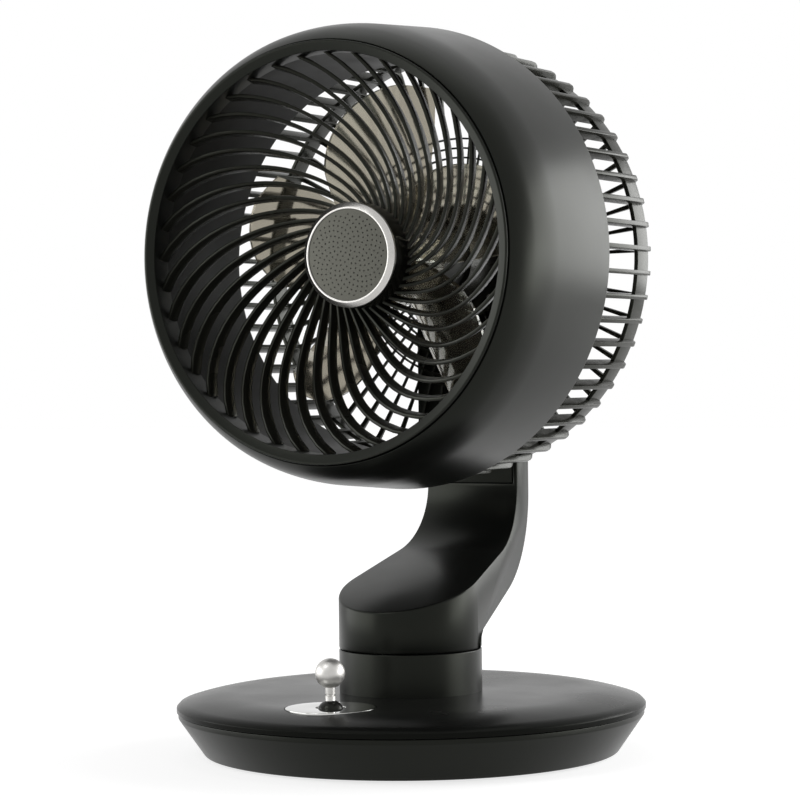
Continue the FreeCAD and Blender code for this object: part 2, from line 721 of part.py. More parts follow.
def build_neck():
    """Swept neck, its front panel, spindle and tilt hinge."""
    width = s.collar_radius * 2 + s.overrun
    top = as_size(s.tilt_height)
    half = s.neck_thickness / 2
    front_line, front, rear_line, rear = neck_profile(ZERO)
    start = -s.collar_radius - s.overrun
    slope = tangent(s.neck_front_angle)
    foot = s.collar_radius * sine(s.neck_taper)
    corner = rear_line + s.neck_junction_place * tangent(s.neck_rear_angle)
    reach = s.neck_junction_bend * tangent((as_size(90) - s.neck_rear_angle) / 2)
    outer_side = [
        (start, neck_low), (s.neck_junction_place, neck_low),
        (s.neck_junction_place, corner - reach, s.neck_junction_bend),
        (s.neck_junction_place + reach * cosine(s.neck_rear_angle), corner + reach * sine(s.neck_rear_angle)),
        (rear[0][0], rear[0][1], -s.neck_rear_bend), rear[1], (neck_rear_place, top, -half),
        (tilt_place, top + half, -half), (s.neck_front_place, top),
        (front[1][0], front[1][1], s.neck_front_bend), front[0], (start, front_line + start * slope)]
    tail = boolean("Common", "neck_tail", extrusion("neck_side", outer_side, "X", width),
                   extrusion("neck_plan", neck_plan(ZERO), "Z", s.head_height))
    round_side = [
        (start, neck_low), (-start, neck_low), (-start, front_line - start * slope), (start, front_line + start * slope)]
    barrel = doc.addObject("Part::Cylinder", "neck_barrel")
    barrel.setExpression("Radius", s.collar_radius.text)
    barrel.setExpression("Height", s.tilt_height.text)
    barrel_cut = boolean("Common", "neck_barrel_cut", barrel, extrusion("neck_round", round_side, "X", width))
    body = boolean("Fuse", "neck_body", tail, barrel_cut)

    panel_depth = s.neck_panel_thickness
    hinge_low = top - s.hinge_slot_depth
    panel_rear = s.neck_front_place + panel_depth
    panel_side = [front[1], (panel_rear, front[1][1]), (panel_rear, hinge_low), (s.neck_front_place, hinge_low)]
    panel_seat = boolean("Common", "panel_seat", extrusion("panel_seat_side", panel_side, "X", width),
                         extrusion("panel_seat_plan", neck_plan(s.neck_wall - s.seat_gap), "Z", s.head_height))
    boolean("Common", "neck_front_panel", extrusion("panel_side", panel_side, "X", width),
            extrusion("panel_plan", neck_plan(s.neck_wall), "Z", s.head_height))

    inner_front_line, inner_front, inner_rear_line, inner_rear = neck_profile(s.neck_wall + panel_depth)
    floor = neck_low + s.neck_floor
    rear_slope = tangent(s.neck_rear_angle)
    rise = inner_rear_line + foot * rear_slope
    hollow_side = [
        (-foot, floor), (foot, floor), (foot, rise), (inner_rear[0][0], inner_rear[0][1], -(s.neck_rear_bend - s.neck_wall - panel_depth)),
        inner_rear[1], (inner_rear[1][0], hinge_low), (inner_front[1][0], hinge_low),
        (inner_front[1][0], inner_front[1][1], s.neck_front_bend + s.neck_wall + panel_depth), inner_front[0],
        (-foot, inner_front_line - foot * slope)]
    hollow = boolean("Common", "neck_hollow", extrusion("hollow_side", hollow_side, "X", width),
                     extrusion("hollow_plan", neck_plan(s.neck_wall + panel_depth), "Z", s.head_height))
    slot_width = s.lug_width + s.tilt_washer_thickness * 2 + s.seat_gap
    slot_side = [
        (s.neck_front_place - s.overrun, hinge_low + panel_depth), (neck_rear_place + s.overrun, hinge_low + panel_depth),
        (neck_rear_place + s.overrun, top + half + s.overrun), (s.neck_front_place - s.overrun, top + half + s.overrun)]
    shell = body
    for name, tool in (("neck_seated", panel_seat), ("neck_hollowed", hollow),
                       ("neck_slotted", extrusion("hinge_slot", slot_side, "X", slot_width)),
                       ("neck_bored", rod("pin_bore", s.tilt_pin_radius + s.fit_gap, width)),
                       ("neck_socketed", post("spindle_socket", s.spindle_radius + s.fit_gap, neck_low, s.spindle_socket))):
        shell = boolean("Cut", name, shell, tool)
    cap_seats = [rod(f"cap_seat_{side}", s.tilt_cap_radius + s.seat_gap, s.overrun * 2, edge)
                 for side, edge in cap_edges(s.tilt_cap_depth)]
    for index, seat in enumerate(cap_seats):
        label = "neck_shell" if index == len(cap_seats) - 1 else f"neck_capped_{index}"
        shell = boolean("Cut", label, shell, seat)

    spindle_low = cover_top + s.sleeve_lift - s.seat_gap - s.nut_height
    upright("swivel_spindle", ring(s.spindle_radius - s.spindle_wall, s.spindle_radius, spindle_low,
                                   neck_low + s.spindle_socket))
    upright("spindle_nut", ring(s.spindle_radius + s.fit_gap, s.nut_radius, spindle_low, spindle_low + s.nut_height))

    pin_length = (hinge_half_width() - s.tilt_cap_depth) * 2
    rod("tilt_pin", s.tilt_pin_radius, pin_length)
    washers = [boolean("Cut", f"washer_{side}", rod(f"washer_disc_{side}", s.tilt_washer_radius, s.tilt_washer_thickness, edge),
                       rod(f"washer_hole_{side}", s.tilt_pin_radius + s.fit_gap, width))
               for side, edge in (("left", -washer_place()), ("right", washer_place()))]
    group("tilt_washers", washers)
    caps = [rod(f"cap_{side}", s.tilt_cap_radius, s.tilt_cap_depth, edge)
            for side, edge in cap_edges(s.tilt_cap_depth / 2)]
    group("tilt_pin_caps", caps)


def hinge_half_width():
    """Half width of the neck at its rear face."""
    return (s.collar_radius - neck_rear_place * sine(s.neck_taper)) / cosine(s.neck_taper)


def washer_place():
    """Middle of a tilt washer, from the middle of the hinge."""
    return (s.lug_width + s.tilt_washer_thickness) / 2 + s.seat_gap / 2


def cap_edges(depth):
    """Places along the pin that lie a depth inside the neck's two sides."""
    edge = hinge_half_width() - depth
    return (("left", -edge), ("right", edge))


def rod(name, radius, length, middle=ZERO):
    """Round bar along the tilt axis, about a middle."""
    bar = doc.addObject("Part::Cylinder", name)
    bar.Label = name
    bar.setExpression("Radius", radius.text)
    bar.setExpression("Height", as_size(length).text)
    bar.Placement.Rotation = FreeCAD.Rotation(FreeCAD.Vector(0, 1, 0), 90)
    bar.setExpression("Placement.Base.x", (as_size(middle) - as_size(length) / 2).text)
    bar.setExpression("Placement.Base.y", tilt_place.text)
    bar.setExpression("Placement.Base.z", s.tilt_height.text)
    return bar


def post(name, radius, low, height):
    """Upright round bar on the base's axis."""
    bar = doc.addObject("Part::Cylinder", name)
    bar.setExpression("Radius", radius.text)
    bar.setExpression("Height", height.text)
    bar.setExpression("Placement.Base.z", low.text)
    return bar


def group(label, members):
    """Several separate solids in one node."""
    result = doc.addObject("Part::Compound", label)
    result.Label = label
    result.Links = members
    return result


# Outer wall of the drum: a straight side, then two bends that run on into each other up to the front edge
drum_rear_radius = s.drum_shoulder_radius + (s.drum_rear - s.drum_shoulder) * tangent(s.drum_side_angle)
flank_front = s.drum_shoulder - s.drum_flank_bend * (sine(s.drum_flank_angle) - sine(s.drum_side_angle))
flank_radius = s.drum_shoulder_radius - s.drum_flank_bend * (cosine(s.drum_side_angle) - cosine(s.drum_flank_angle))
drum_front = flank_front - s.drum_nose_bend * (sine(s.drum_nose_angle) - sine(s.drum_flank_angle))
drum_front_radius = flank_radius - s.drum_nose_bend * (cosine(s.drum_flank_angle) - cosine(s.drum_nose_angle))


def build_drum():
    """Double-walled drum: curved outer wall, straight duct and a flat back."""
    wall = s.drum_wall
    duct_front = s.bezel_front + s.bezel_depth
    drum = axial("drum_shroud", [
        (drum_front, drum_front_radius, s.drum_nose_bend), (flank_front, flank_radius, s.drum_flank_bend),
        (s.drum_shoulder, s.drum_shoulder_radius), (s.drum_rear, drum_rear_radius), (s.drum_rear, s.duct_radius),
        (duct_front, s.duct_radius), (duct_front, s.duct_radius + s.duct_wall),
        (s.drum_rear - wall, s.duct_radius + s.duct_wall), (s.drum_rear - wall, drum_rear_radius - wall),
        (s.drum_shoulder, s.drum_shoulder_radius - wall), (flank_front, flank_radius - wall),
        (drum_front + wall, drum_front_radius)])
    boss = pad(drum, sketch_on(drum, "XZ_Plane", -s.drum_rear + s.drum_wall / 2, circles=[
        (ZERO, s.boss_circle, s.boss_radius)]), s.boss_length)
    around(drum, boss, "Y_Axis", s.shroud_screw_count)
    pilot = cut(drum, sketch_on(drum, "XZ_Plane", -s.drum_rear, circles=[
        (ZERO, s.boss_circle, s.screw_radius + s.fit_gap)]), s.screw_grip, reverse=True)
    around(drum, pilot, "Y_Axis", s.shroud_screw_count)


SPIRAL_SPLIT_SHARE = 0.38


def build_front_grille():
    """Bezel, spiral fins on a dished surface and the hub cup, in one moulding; ring and plate on the hub."""
    bezel_rear = s.bezel_front + s.bezel_depth
    bezel_outer = drum_front_radius - s.seam_gap
    grille = axial("front_grille", [
        (s.bezel_front, s.bezel_inner_radius), (s.bezel_front, bezel_outer), (bezel_rear, bezel_outer),
        (bezel_rear, s.bezel_inner_radius)])
    inner, outer = s.hub_radius - s.hub_wall / 2, s.bezel_inner_radius + s.seam_gap * 4
    split = inner + (outer - inner) * SPIRAL_SPLIT_SHARE

    def spiral(radius, side):
        """Point on one face of the fin, whose path keeps one angle to the radius."""
        angle = tangent(s.fin_angle) * natural_log(radius / inner) * as_size(180 / math.pi)
        heading = angle + s.fin_angle
        offset = s.fin_thickness / 2 * as_size(side)
        return (radius * cosine(angle) - offset * sine(heading), radius * sine(angle) + offset * cosine(heading))

    def bend(low, high):
        """Mean radius of the spiral between two radii."""
        return root(low * high) / sine(s.fin_angle)

    near, far = bend(inner, split), bend(split, outer)
    outline = [
        spiral(inner, -1) + (near,), spiral(split, -1) + (far,), spiral(outer, -1),
        spiral(outer, 1) + (-far,), spiral(split, 1) + (-near,), spiral(inner, 1)]
    outline[0] = outline[0][:2] + (-near,)
    outline[1] = outline[1][:2] + (-far,)
    outline[3] = outline[3][:2] + (far,)
    outline[4] = outline[4][:2] + (near,)
    fin_back = s.fin_hub_front + s.fin_hub_depth
    fin = pad(grille, sketch_on(grille, "XZ_Plane", -fin_back, outlines=[outline]), fin_back - s.bezel_front)
    around(grille, fin, "Y_Axis", s.fin_count)
    clear = s.bezel_front - s.overrun
    behind = fin_back + s.overrun
    reach = s.bezel_inner_radius - s.fit_gap
    turn(grille, sketch_on(grille, "YZ_Plane", outlines=[
        [(clear, ZERO), (s.fin_hub_front, ZERO), (s.fin_hub_front, s.hub_radius, -s.fin_dish_bend),
         (s.fin_rim_front, reach), (clear, reach)],
        [(fin_back, s.hub_radius), (behind, s.hub_radius), (behind, outer + s.overrun), (bezel_rear, outer + s.overrun),
         (bezel_rear, reach), (s.fin_rim_front + s.fin_rim_depth, reach, s.fin_dish_bend)]]), "H_Axis", "Groove")
    hub_rear = s.hub_face + s.hub_depth
    hub_inner = s.hub_radius - s.hub_wall
    turn(grille, sketch_on(grille, "YZ_Plane", outlines=[[
        (s.hub_face, ZERO), (s.hub_face, s.hub_radius), (hub_rear, s.hub_radius), (hub_rear, hub_inner),
        (s.hub_face + s.hub_wall, hub_inner), (s.hub_face + s.hub_wall, ZERO)]]), "H_Axis")

    ring_front = s.hub_face - s.hub_ring_height
    axial("hub_ring", [
        (s.hub_face, s.hub_ring_inner_radius), (ring_front, s.hub_ring_inner_radius),
        (s.hub_face - s.hub_ring_edge, s.hub_radius), (s.hub_face, s.hub_radius)])
    axial("hub_plate", [
        (s.hub_face, ZERO), (s.hub_face - s.hub_plate_thickness, ZERO),
        (s.hub_face - s.hub_plate_thickness, s.hub_ring_inner_radius - s.fit_gap),
        (s.hub_face, s.hub_ring_inner_radius - s.fit_gap)])


cage_back = s.drum_rear + s.cage_depth
plate_front = cage_back - s.cage_back_thickness
plate_rear = cage_back + s.seam_gap * 2
bracket_screw_place = diagonal(s.bracket_screw_circle)
motor_screw_place = (ZERO, s.motor_screw_circle)


def build_rear_grille():
    """Cage of bent ribs from the drum's back edge, round the corner and in to the motor plate."""
    flange_rear = s.drum_rear + s.cage_flange_thickness
    hoop_rear = cage_back - s.hoop_inset
    cup_inner = s.motor_radius + s.running_gap
    cup_outer = cup_inner + s.cup_wall
    rings = [
        tube(s.cage_flange_inner_radius, s.cage_flange_radius, s.drum_rear, flange_rear),
        tube(s.hoop_radius - s.hoop_thickness, s.hoop_radius, hoop_rear - s.hoop_width, hoop_rear),
        [(plate_front - s.cup_depth, cup_inner), (plate_front, cup_inner), (plate_front, ZERO), (plate_rear, ZERO),
         (plate_rear, s.hub_plate_radius), (plate_front, s.hub_plate_radius), (plate_front, cup_outer),
         (plate_front - s.cup_depth, cup_outer)]]
    for index in range(int(SIZES["ring_count"])):
        radius = s.hub_plate_radius + s.ring_pitch * as_size(index + 1)
        rings.append(tube(radius - s.ring_width, radius, plate_front, plate_front + s.ring_depth))
    cage = new_body("rear_grille", s.head_height)
    cage.AllowCompound = True
    turn(cage, sketch_on(cage, "YZ_Plane", outlines=rings), "H_Axis")
    for face, place, count, bore, depth in (
            (plate_rear, bracket_screw_place, s.bracket_screw_count, s.screw_radius + s.fit_gap, plate_rear - plate_front),
            (plate_rear, motor_screw_place, s.motor_screw_count, s.screw_radius + s.seat_gap, plate_rear - plate_front),
            (flange_rear, (ZERO, s.boss_circle), s.shroud_screw_count, s.screw_radius + s.seat_gap,
             s.cage_flange_thickness)):
        hole = cut(cage, sketch_on(cage, "XZ_Plane", -face, circles=[place + (bore,)]), depth, reverse=True)
        around(cage, hole, "Y_Axis", count)
        doc.recompute()
    inner_bend = s.cage_bend - s.cage_back_thickness
    bar_inner = s.cage_radius - s.cage_bar_height
    bar_front = s.drum_rear + s.cage_flange_thickness / 2
    rib_end = s.hub_plate_radius - s.ring_width
    rib = pad(cage, sketch_on(cage, "YZ_Plane", outlines=[[
        (bar_front, bar_inner), (bar_front, s.cage_radius), (cage_back - s.cage_bend, s.cage_radius, s.cage_bend),
        (cage_back, s.cage_radius - s.cage_bend), (cage_back, rib_end), (plate_front, rib_end),
        (plate_front, bar_inner - inner_bend, -inner_bend), (plate_front - inner_bend, bar_inner)]]),
        s.rib_thickness, symmetric=True)
    around(cage, rib, "Y_Axis", s.rib_count)


def build_tilt_bracket():
    """Spine on the back of the head with the hinge lug."""
    bracket = new_body("tilt_bracket", s.head_height)
    rear = plate_rear + s.bracket_thickness
    half, corner = s.bracket_half_width, s.bracket_corner
    low, high = -s.bracket_drop, s.bracket_top
    pad(bracket, sketch_on(bracket, "XZ_Plane", -rear, outlines=[[
        (-half + corner, low), (half - corner, low, -corner), (half, low + corner), (half, high - corner, -corner),
        (half - corner, high), (-half + corner, high, -corner), (-half, high - corner), (-half, low + corner, -corner)]]),
        s.bracket_thickness)
    axis = s.tilt_height - s.head_height
    embed = rear - s.bracket_thickness / 2
    pad(bracket, sketch_on(bracket, "YZ_Plane", outlines=[[
        (embed, axis - s.lug_root), (tilt_place, axis - s.lug_radius, -s.lug_radius),
        (tilt_place + s.lug_radius, axis, -s.lug_radius), (tilt_place, axis + s.lug_radius), (embed, axis + s.lug_root)]]),
        s.lug_width, symmetric=True)
    cut(bracket, sketch_on(bracket, "YZ_Plane", circles=[(tilt_place, axis, s.tilt_pin_radius + s.running_gap)]),
        s.lug_width + s.overrun, symmetric=True)
    for place, count, bore in ((bracket_screw_place, s.bracket_screw_count, s.screw_radius + s.seat_gap),
                               (motor_screw_place, s.motor_screw_count, s.screw_head_radius + s.seat_gap)):
        hole = cut(bracket, sketch_on(bracket, "XZ_Plane", -rear, circles=[place + (bore,)]),
                   s.bracket_thickness, reverse=True)
        around(bracket, hole, "Y_Axis", count)
        doc.recompute()
    screws("bracket_screws", "XZ_Plane", "Y_Axis", -rear, bracket_screw_place, s.bracket_screw_count,
           rear - plate_front, s.screw_head_radius, s.head_height)
    screws("motor_screws", "XZ_Plane", "Y_Axis", -plate_rear, motor_screw_place, s.motor_screw_count,
           plate_rear - plate_front + s.motor_seat / 2, s.screw_head_radius, s.head_height)
    screws("shroud_screws", "XZ_Plane", "Y_Axis", -(s.drum_rear + s.cage_flange_thickness), (ZERO, s.boss_circle),
           s.shroud_screw_count, s.screw_grip, s.shroud_head_radius, s.head_height)


def build_motor():
    """Motor in the cup of the rear grille, with the parts that turn."""
    can_rear = plate_front - s.motor_seat
    wall = s.motor_wall
    seat = s.bearing_radius + s.fit_gap
    bearing_front = s.motor_front
    bearing_rear = can_rear - s.bearing_width + s.motor_seat / 2
    axial("motor_can", [
        (s.motor_front, seat), (s.motor_front, s.motor_radius), (can_rear, s.motor_radius),
        (can_rear, s.motor_radius - wall), (s.motor_front + s.bearing_width, s.motor_radius - wall),
        (s.motor_front + s.bearing_width, seat)])
    cap = axial("motor_end_cap", [
        (can_rear, seat), (can_rear, s.motor_radius), (plate_front, s.motor_radius), (plate_front, ZERO),
        (bearing_rear + s.bearing_width, ZERO), (bearing_rear + s.bearing_width, seat)])
    hole = cut(cap, sketch_on(cap, "XZ_Plane", -plate_front, circles=[
        (ZERO, s.motor_screw_circle, s.screw_radius + s.fit_gap)]), s.motor_seat / 2, reverse=True)
    around(cap, hole, "Y_Axis", s.motor_screw_count)
    core_front = s.motor_front + s.bearing_width + s.core_margin
    core_rear = bearing_rear - s.core_margin
    bore = s.shaft_radius + s.running_gap
    axial("motor_stator", tube(s.stator_inner_radius, s.motor_radius - wall - s.fit_gap, core_front, core_rear))
    axial("front_bearing", tube(bore, s.bearing_radius, bearing_front, bearing_front + s.bearing_width))
    axial("rear_bearing", tube(bore, s.bearing_radius, bearing_rear, bearing_rear + s.bearing_width))
    axial("motor_rotor", tube(s.shaft_radius + s.fit_gap, s.rotor_radius, core_front, core_rear))
    axial("motor_shaft", tube(ZERO, s.shaft_radius, s.shaft_front, bearing_rear + s.bearing_width - s.shaft_rear_gap))


def build_impeller():
    """Hub cup with twisted, swept blades, and the nut that holds it on the shaft."""
    impeller = new_body("impeller", s.head_height)
    hub, wall, nose = s.impeller_hub_radius, s.impeller_wall, s.impeller_nose_round
    bore = s.shaft_radius + s.fit_gap
    front, rear = s.impeller_front, s.impeller_rear
    seat = s.shaft_front + s.spinner_height
    turn(impeller, sketch_on(impeller, "YZ_Plane", outlines=[[
        (seat, bore), (seat, s.impeller_boss_radius), (front + wall * 2, s.impeller_boss_radius),
        (front, hub - nose, nose), (front + nose, hub), (rear, hub), (rear, hub - wall),
        (front + nose, hub - wall), (front + nose + wall, s.impeller_boss_radius + wall),
        (rear, s.impeller_boss_radius + wall), (rear, bore)]]), "H_Axis")
    sections = []
    stations = (
        (s.blade_root_place, s.blade_root_chord, s.blade_root_pitch, s.blade_root_camber, s.blade_root_sweep),
        (s.blade_mid_place, s.blade_mid_chord, s.blade_mid_pitch, s.blade_mid_camber, s.blade_mid_sweep),
        (s.blade_end_place, s.blade_end_chord, s.blade_end_pitch, s.blade_end_camber, s.blade_end_sweep))
    for place, chord, pitch, camber, sweep in stations:
        along, rise = chord / 2 * cosine(pitch), chord / 2 * sine(pitch)
        shift, lift = s.blade_thickness / 2 * sine(pitch), s.blade_thickness / 2 * cosine(pitch)
        centre = s.blade_centre
        sections.append(sketch_on(impeller, "XY_Plane", place, outlines=[[
            (sweep - along + shift, centre - rise - lift, -camber), (sweep + along + shift, centre + rise - lift),
            (sweep + along - shift, centre + rise + lift, camber), (sweep - along - shift, centre - rise + lift)]]))
    doc.recompute()
    blade = impeller.newObject("PartDesign::AdditiveLoft", "Blade")
    blade.Profile = sections[0]
    blade.Sections = sections[1:]
    doc.recompute()
    around(impeller, blade, "Y_Axis", s.blade_count)
    crown, beside = s.blade_end_place + s.overrun, -s.blade_lead - s.overrun
    tip_middle = s.blade_tip_bend - s.blade_lead
    tip = cut(impeller, sketch_on(impeller, "XZ_Plane", outlines=[[
        (-s.blade_lead, s.blade_mid_place, s.blade_tip_bend), (tip_middle, s.blade_mid_place + s.blade_tip_bend),
        (tip_middle, crown), (beside, crown), (beside, s.blade_mid_place)]]), s.blade_end_chord * 2, symmetric=True)
    around(impeller, tip, "Y_Axis", s.blade_count)
    doc.recompute()
    ahead = s.blade_centre - s.blade_end_chord
    behind = s.blade_centre + s.blade_end_chord
    far = s.blade_end_place + s.blade_end_chord
    hollow = hub - wall
    turn(impeller, sketch_on(impeller, "YZ_Plane", outlines=[
        [(ahead, s.blade_tip_radius), (behind, s.blade_tip_radius), (behind, far), (ahead, far)],
        [(front + nose + wall, s.impeller_boss_radius + wall), (rear + s.overrun, s.impeller_boss_radius + wall),
         (rear + s.overrun, hollow), (front + nose + wall, hollow)]]), "H_Axis", "Groove")
    impeller.setExpression("Placement.Rotation.Angle", "Sizes.blade_clock - 90")
    impeller.Placement.Rotation = FreeCAD.Rotation(FreeCAD.Vector(0, -1, 0), SIZES["blade_clock"] - 90)
    axial("impeller_nut", [
        (seat, bore), (seat, s.spinner_radius), (seat - s.spinner_height, s.spinner_radius),
        (seat - s.spinner_height, bore)])


build_base()
build_lever()
build_neck()
build_drum()
build_front_grille()
build_rear_grille()
build_tilt_bracket()
build_motor()
build_impeller()
doc.recompute()

NODES = [
    "base_pan", "base_cover", "foot_ring", "ballast_plate", "control_board", "usb_inlet", "selector_switch",
    "lever_plate", "lever_socket", "swivel_collar", "swivel_bush", "swivel_washer", "base_screws",
    "lever_knob", "lever_stem", "lever_pivot_ball", "lever_cross_pin",
    "neck_shell", "neck_front_panel", "swivel_spindle", "spindle_nut", "tilt_pin", "tilt_pin_caps", "tilt_washers",
    "drum_shroud", "front_grille", "hub_ring", "hub_plate", "rear_grille", "tilt_bracket", "bracket_screws",
    "shroud_screws", "motor_screws", "motor_can", "motor_end_cap", "motor_stator", "front_bearing", "rear_bearing",
    "impeller", "motor_shaft", "motor_rotor", "impeller_nut",
]

for item in doc.Objects:
    if "Invalid" in item.State or "Error" in item.State:
        raise RuntimeError(f"{item.Label} failed: {item.State}")

os.makedirs("parts", exist_ok=True)
for label in NODES:
    node = doc.getObjectsByLabel(label)[0]
    if node.Shape.isNull() or not node.Shape.isValid():
        raise RuntimeError(f"{label} has no valid shape")
    node.Shape.exportStep(f"parts/{label}.step")
    print(label, round(node.Shape.Volume), len(node.Shape.Solids))
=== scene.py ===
"""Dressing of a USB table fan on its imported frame: fine forms, finishes, camera and soft studio light."""
import logging
import math
from abc import ABC, abstractmethod
from collections.abc import Sequence
from dataclasses import dataclass
from enum import Enum, IntEnum
from functools import cache

import bmesh
import bpy
from mathutils import Matrix, Vector


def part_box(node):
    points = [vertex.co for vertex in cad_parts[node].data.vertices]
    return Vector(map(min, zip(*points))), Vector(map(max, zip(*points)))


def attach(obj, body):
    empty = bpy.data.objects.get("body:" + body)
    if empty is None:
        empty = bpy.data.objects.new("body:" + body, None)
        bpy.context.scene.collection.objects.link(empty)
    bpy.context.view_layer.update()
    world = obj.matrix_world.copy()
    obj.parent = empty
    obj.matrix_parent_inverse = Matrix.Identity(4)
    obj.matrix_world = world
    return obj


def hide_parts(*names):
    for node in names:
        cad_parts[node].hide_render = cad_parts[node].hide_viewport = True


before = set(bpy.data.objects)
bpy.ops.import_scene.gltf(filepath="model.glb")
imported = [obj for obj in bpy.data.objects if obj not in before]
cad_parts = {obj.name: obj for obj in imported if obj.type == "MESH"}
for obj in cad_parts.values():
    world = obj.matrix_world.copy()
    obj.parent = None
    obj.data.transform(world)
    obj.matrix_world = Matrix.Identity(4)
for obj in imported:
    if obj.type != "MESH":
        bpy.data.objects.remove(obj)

LOG = logging.getLogger("table_fan")
MM = 0.001
ORIGIN = (0.0, 0.0, 0.0)
FULL_TURN = 2.0 * math.pi
QUARTER_TURN = math.pi / 2.0
GOLDEN_ANGLE = math.pi * (3.0 - math.sqrt(5.0))
MERGE = 1e-6
ROUND_STEPS = 5
EDGE_STEPS = 2
FLAT_ANGLE = math.radians(0.3)
SMOOTH_ANGLE = math.radians(32.0)
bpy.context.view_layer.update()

Pair = tuple[float, float]
Triple = tuple[float, float, float]
Corner = tuple[float, ...]
Mesh = bmesh.types.BMesh
Node = bpy.types.Node
Tree = bpy.types.NodeTree
Material = bpy.types.Material
Socket = bpy.types.NodeSocket

WHITE: Triple = (1.0, 1.0, 1.0)
DUST: Triple = (0.2, 0.2, 0.19)
DUST_FACING: Pair = (0.2, 1.0)
DUST_PATCHES = 60.0
DUST_OCTAVES = 6.0
GRAIN_OCTAVES = 2.0
MOTTLE_OCTAVES = 4.0
MOTTLE_SPAN: Pair = (0.3, 0.7)
MARK_OCTAVES = 3.0
MARK_DISTORTION = 1.5


class Turn(Enum):
    """Axis that a turned piece is spun about."""

    UPRIGHT = (0.0, 0.0, 1.0)
    FAN = (0.0, 1.0, 0.0)


class Sides(IntEnum):
    """Sides of a round form, by its size."""

    DRUM = 192
    BASE = 160
    DISC = 128
    CUP = 96
    BALL = 64
    ROD = 48
    HOLE = 8


class Body(Enum):
    """Moving body of the frame that a piece rides on."""

    BASE = "base"
    LEVER = "lever"
    NECK = "neck"
    HEAD = "head"


class Slot(Enum):
    """Material slot named in the record; nothing in this script reads it."""

    SHELL = "charcoal_shell"
    GRILLE = "charcoal_grille"
    RUBBER = "foot_rubber"
    POLISHED = "polished_steel"
    SATIN = "satin_steel"
    PIVOT = "pivot_plastic"
    HUB = "hub_plate_metal"


def middle_of(node: str) -> Vector:
    """Middle of a CAD node's box, in metres."""
    low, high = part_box(node)
    return (Vector(low) + Vector(high)) / 2.0


HEAD_AXIS = Vector((0.0, 0.0, middle_of("motor_shaft").z))
LEVER_AXIS = Vector((0.0, middle_of("lever_knob").y, 0.0))


def opaque(colour: Triple) -> tuple[float, float, float, float]:
    """Colour with full alpha."""
    return (*colour, 1.0)


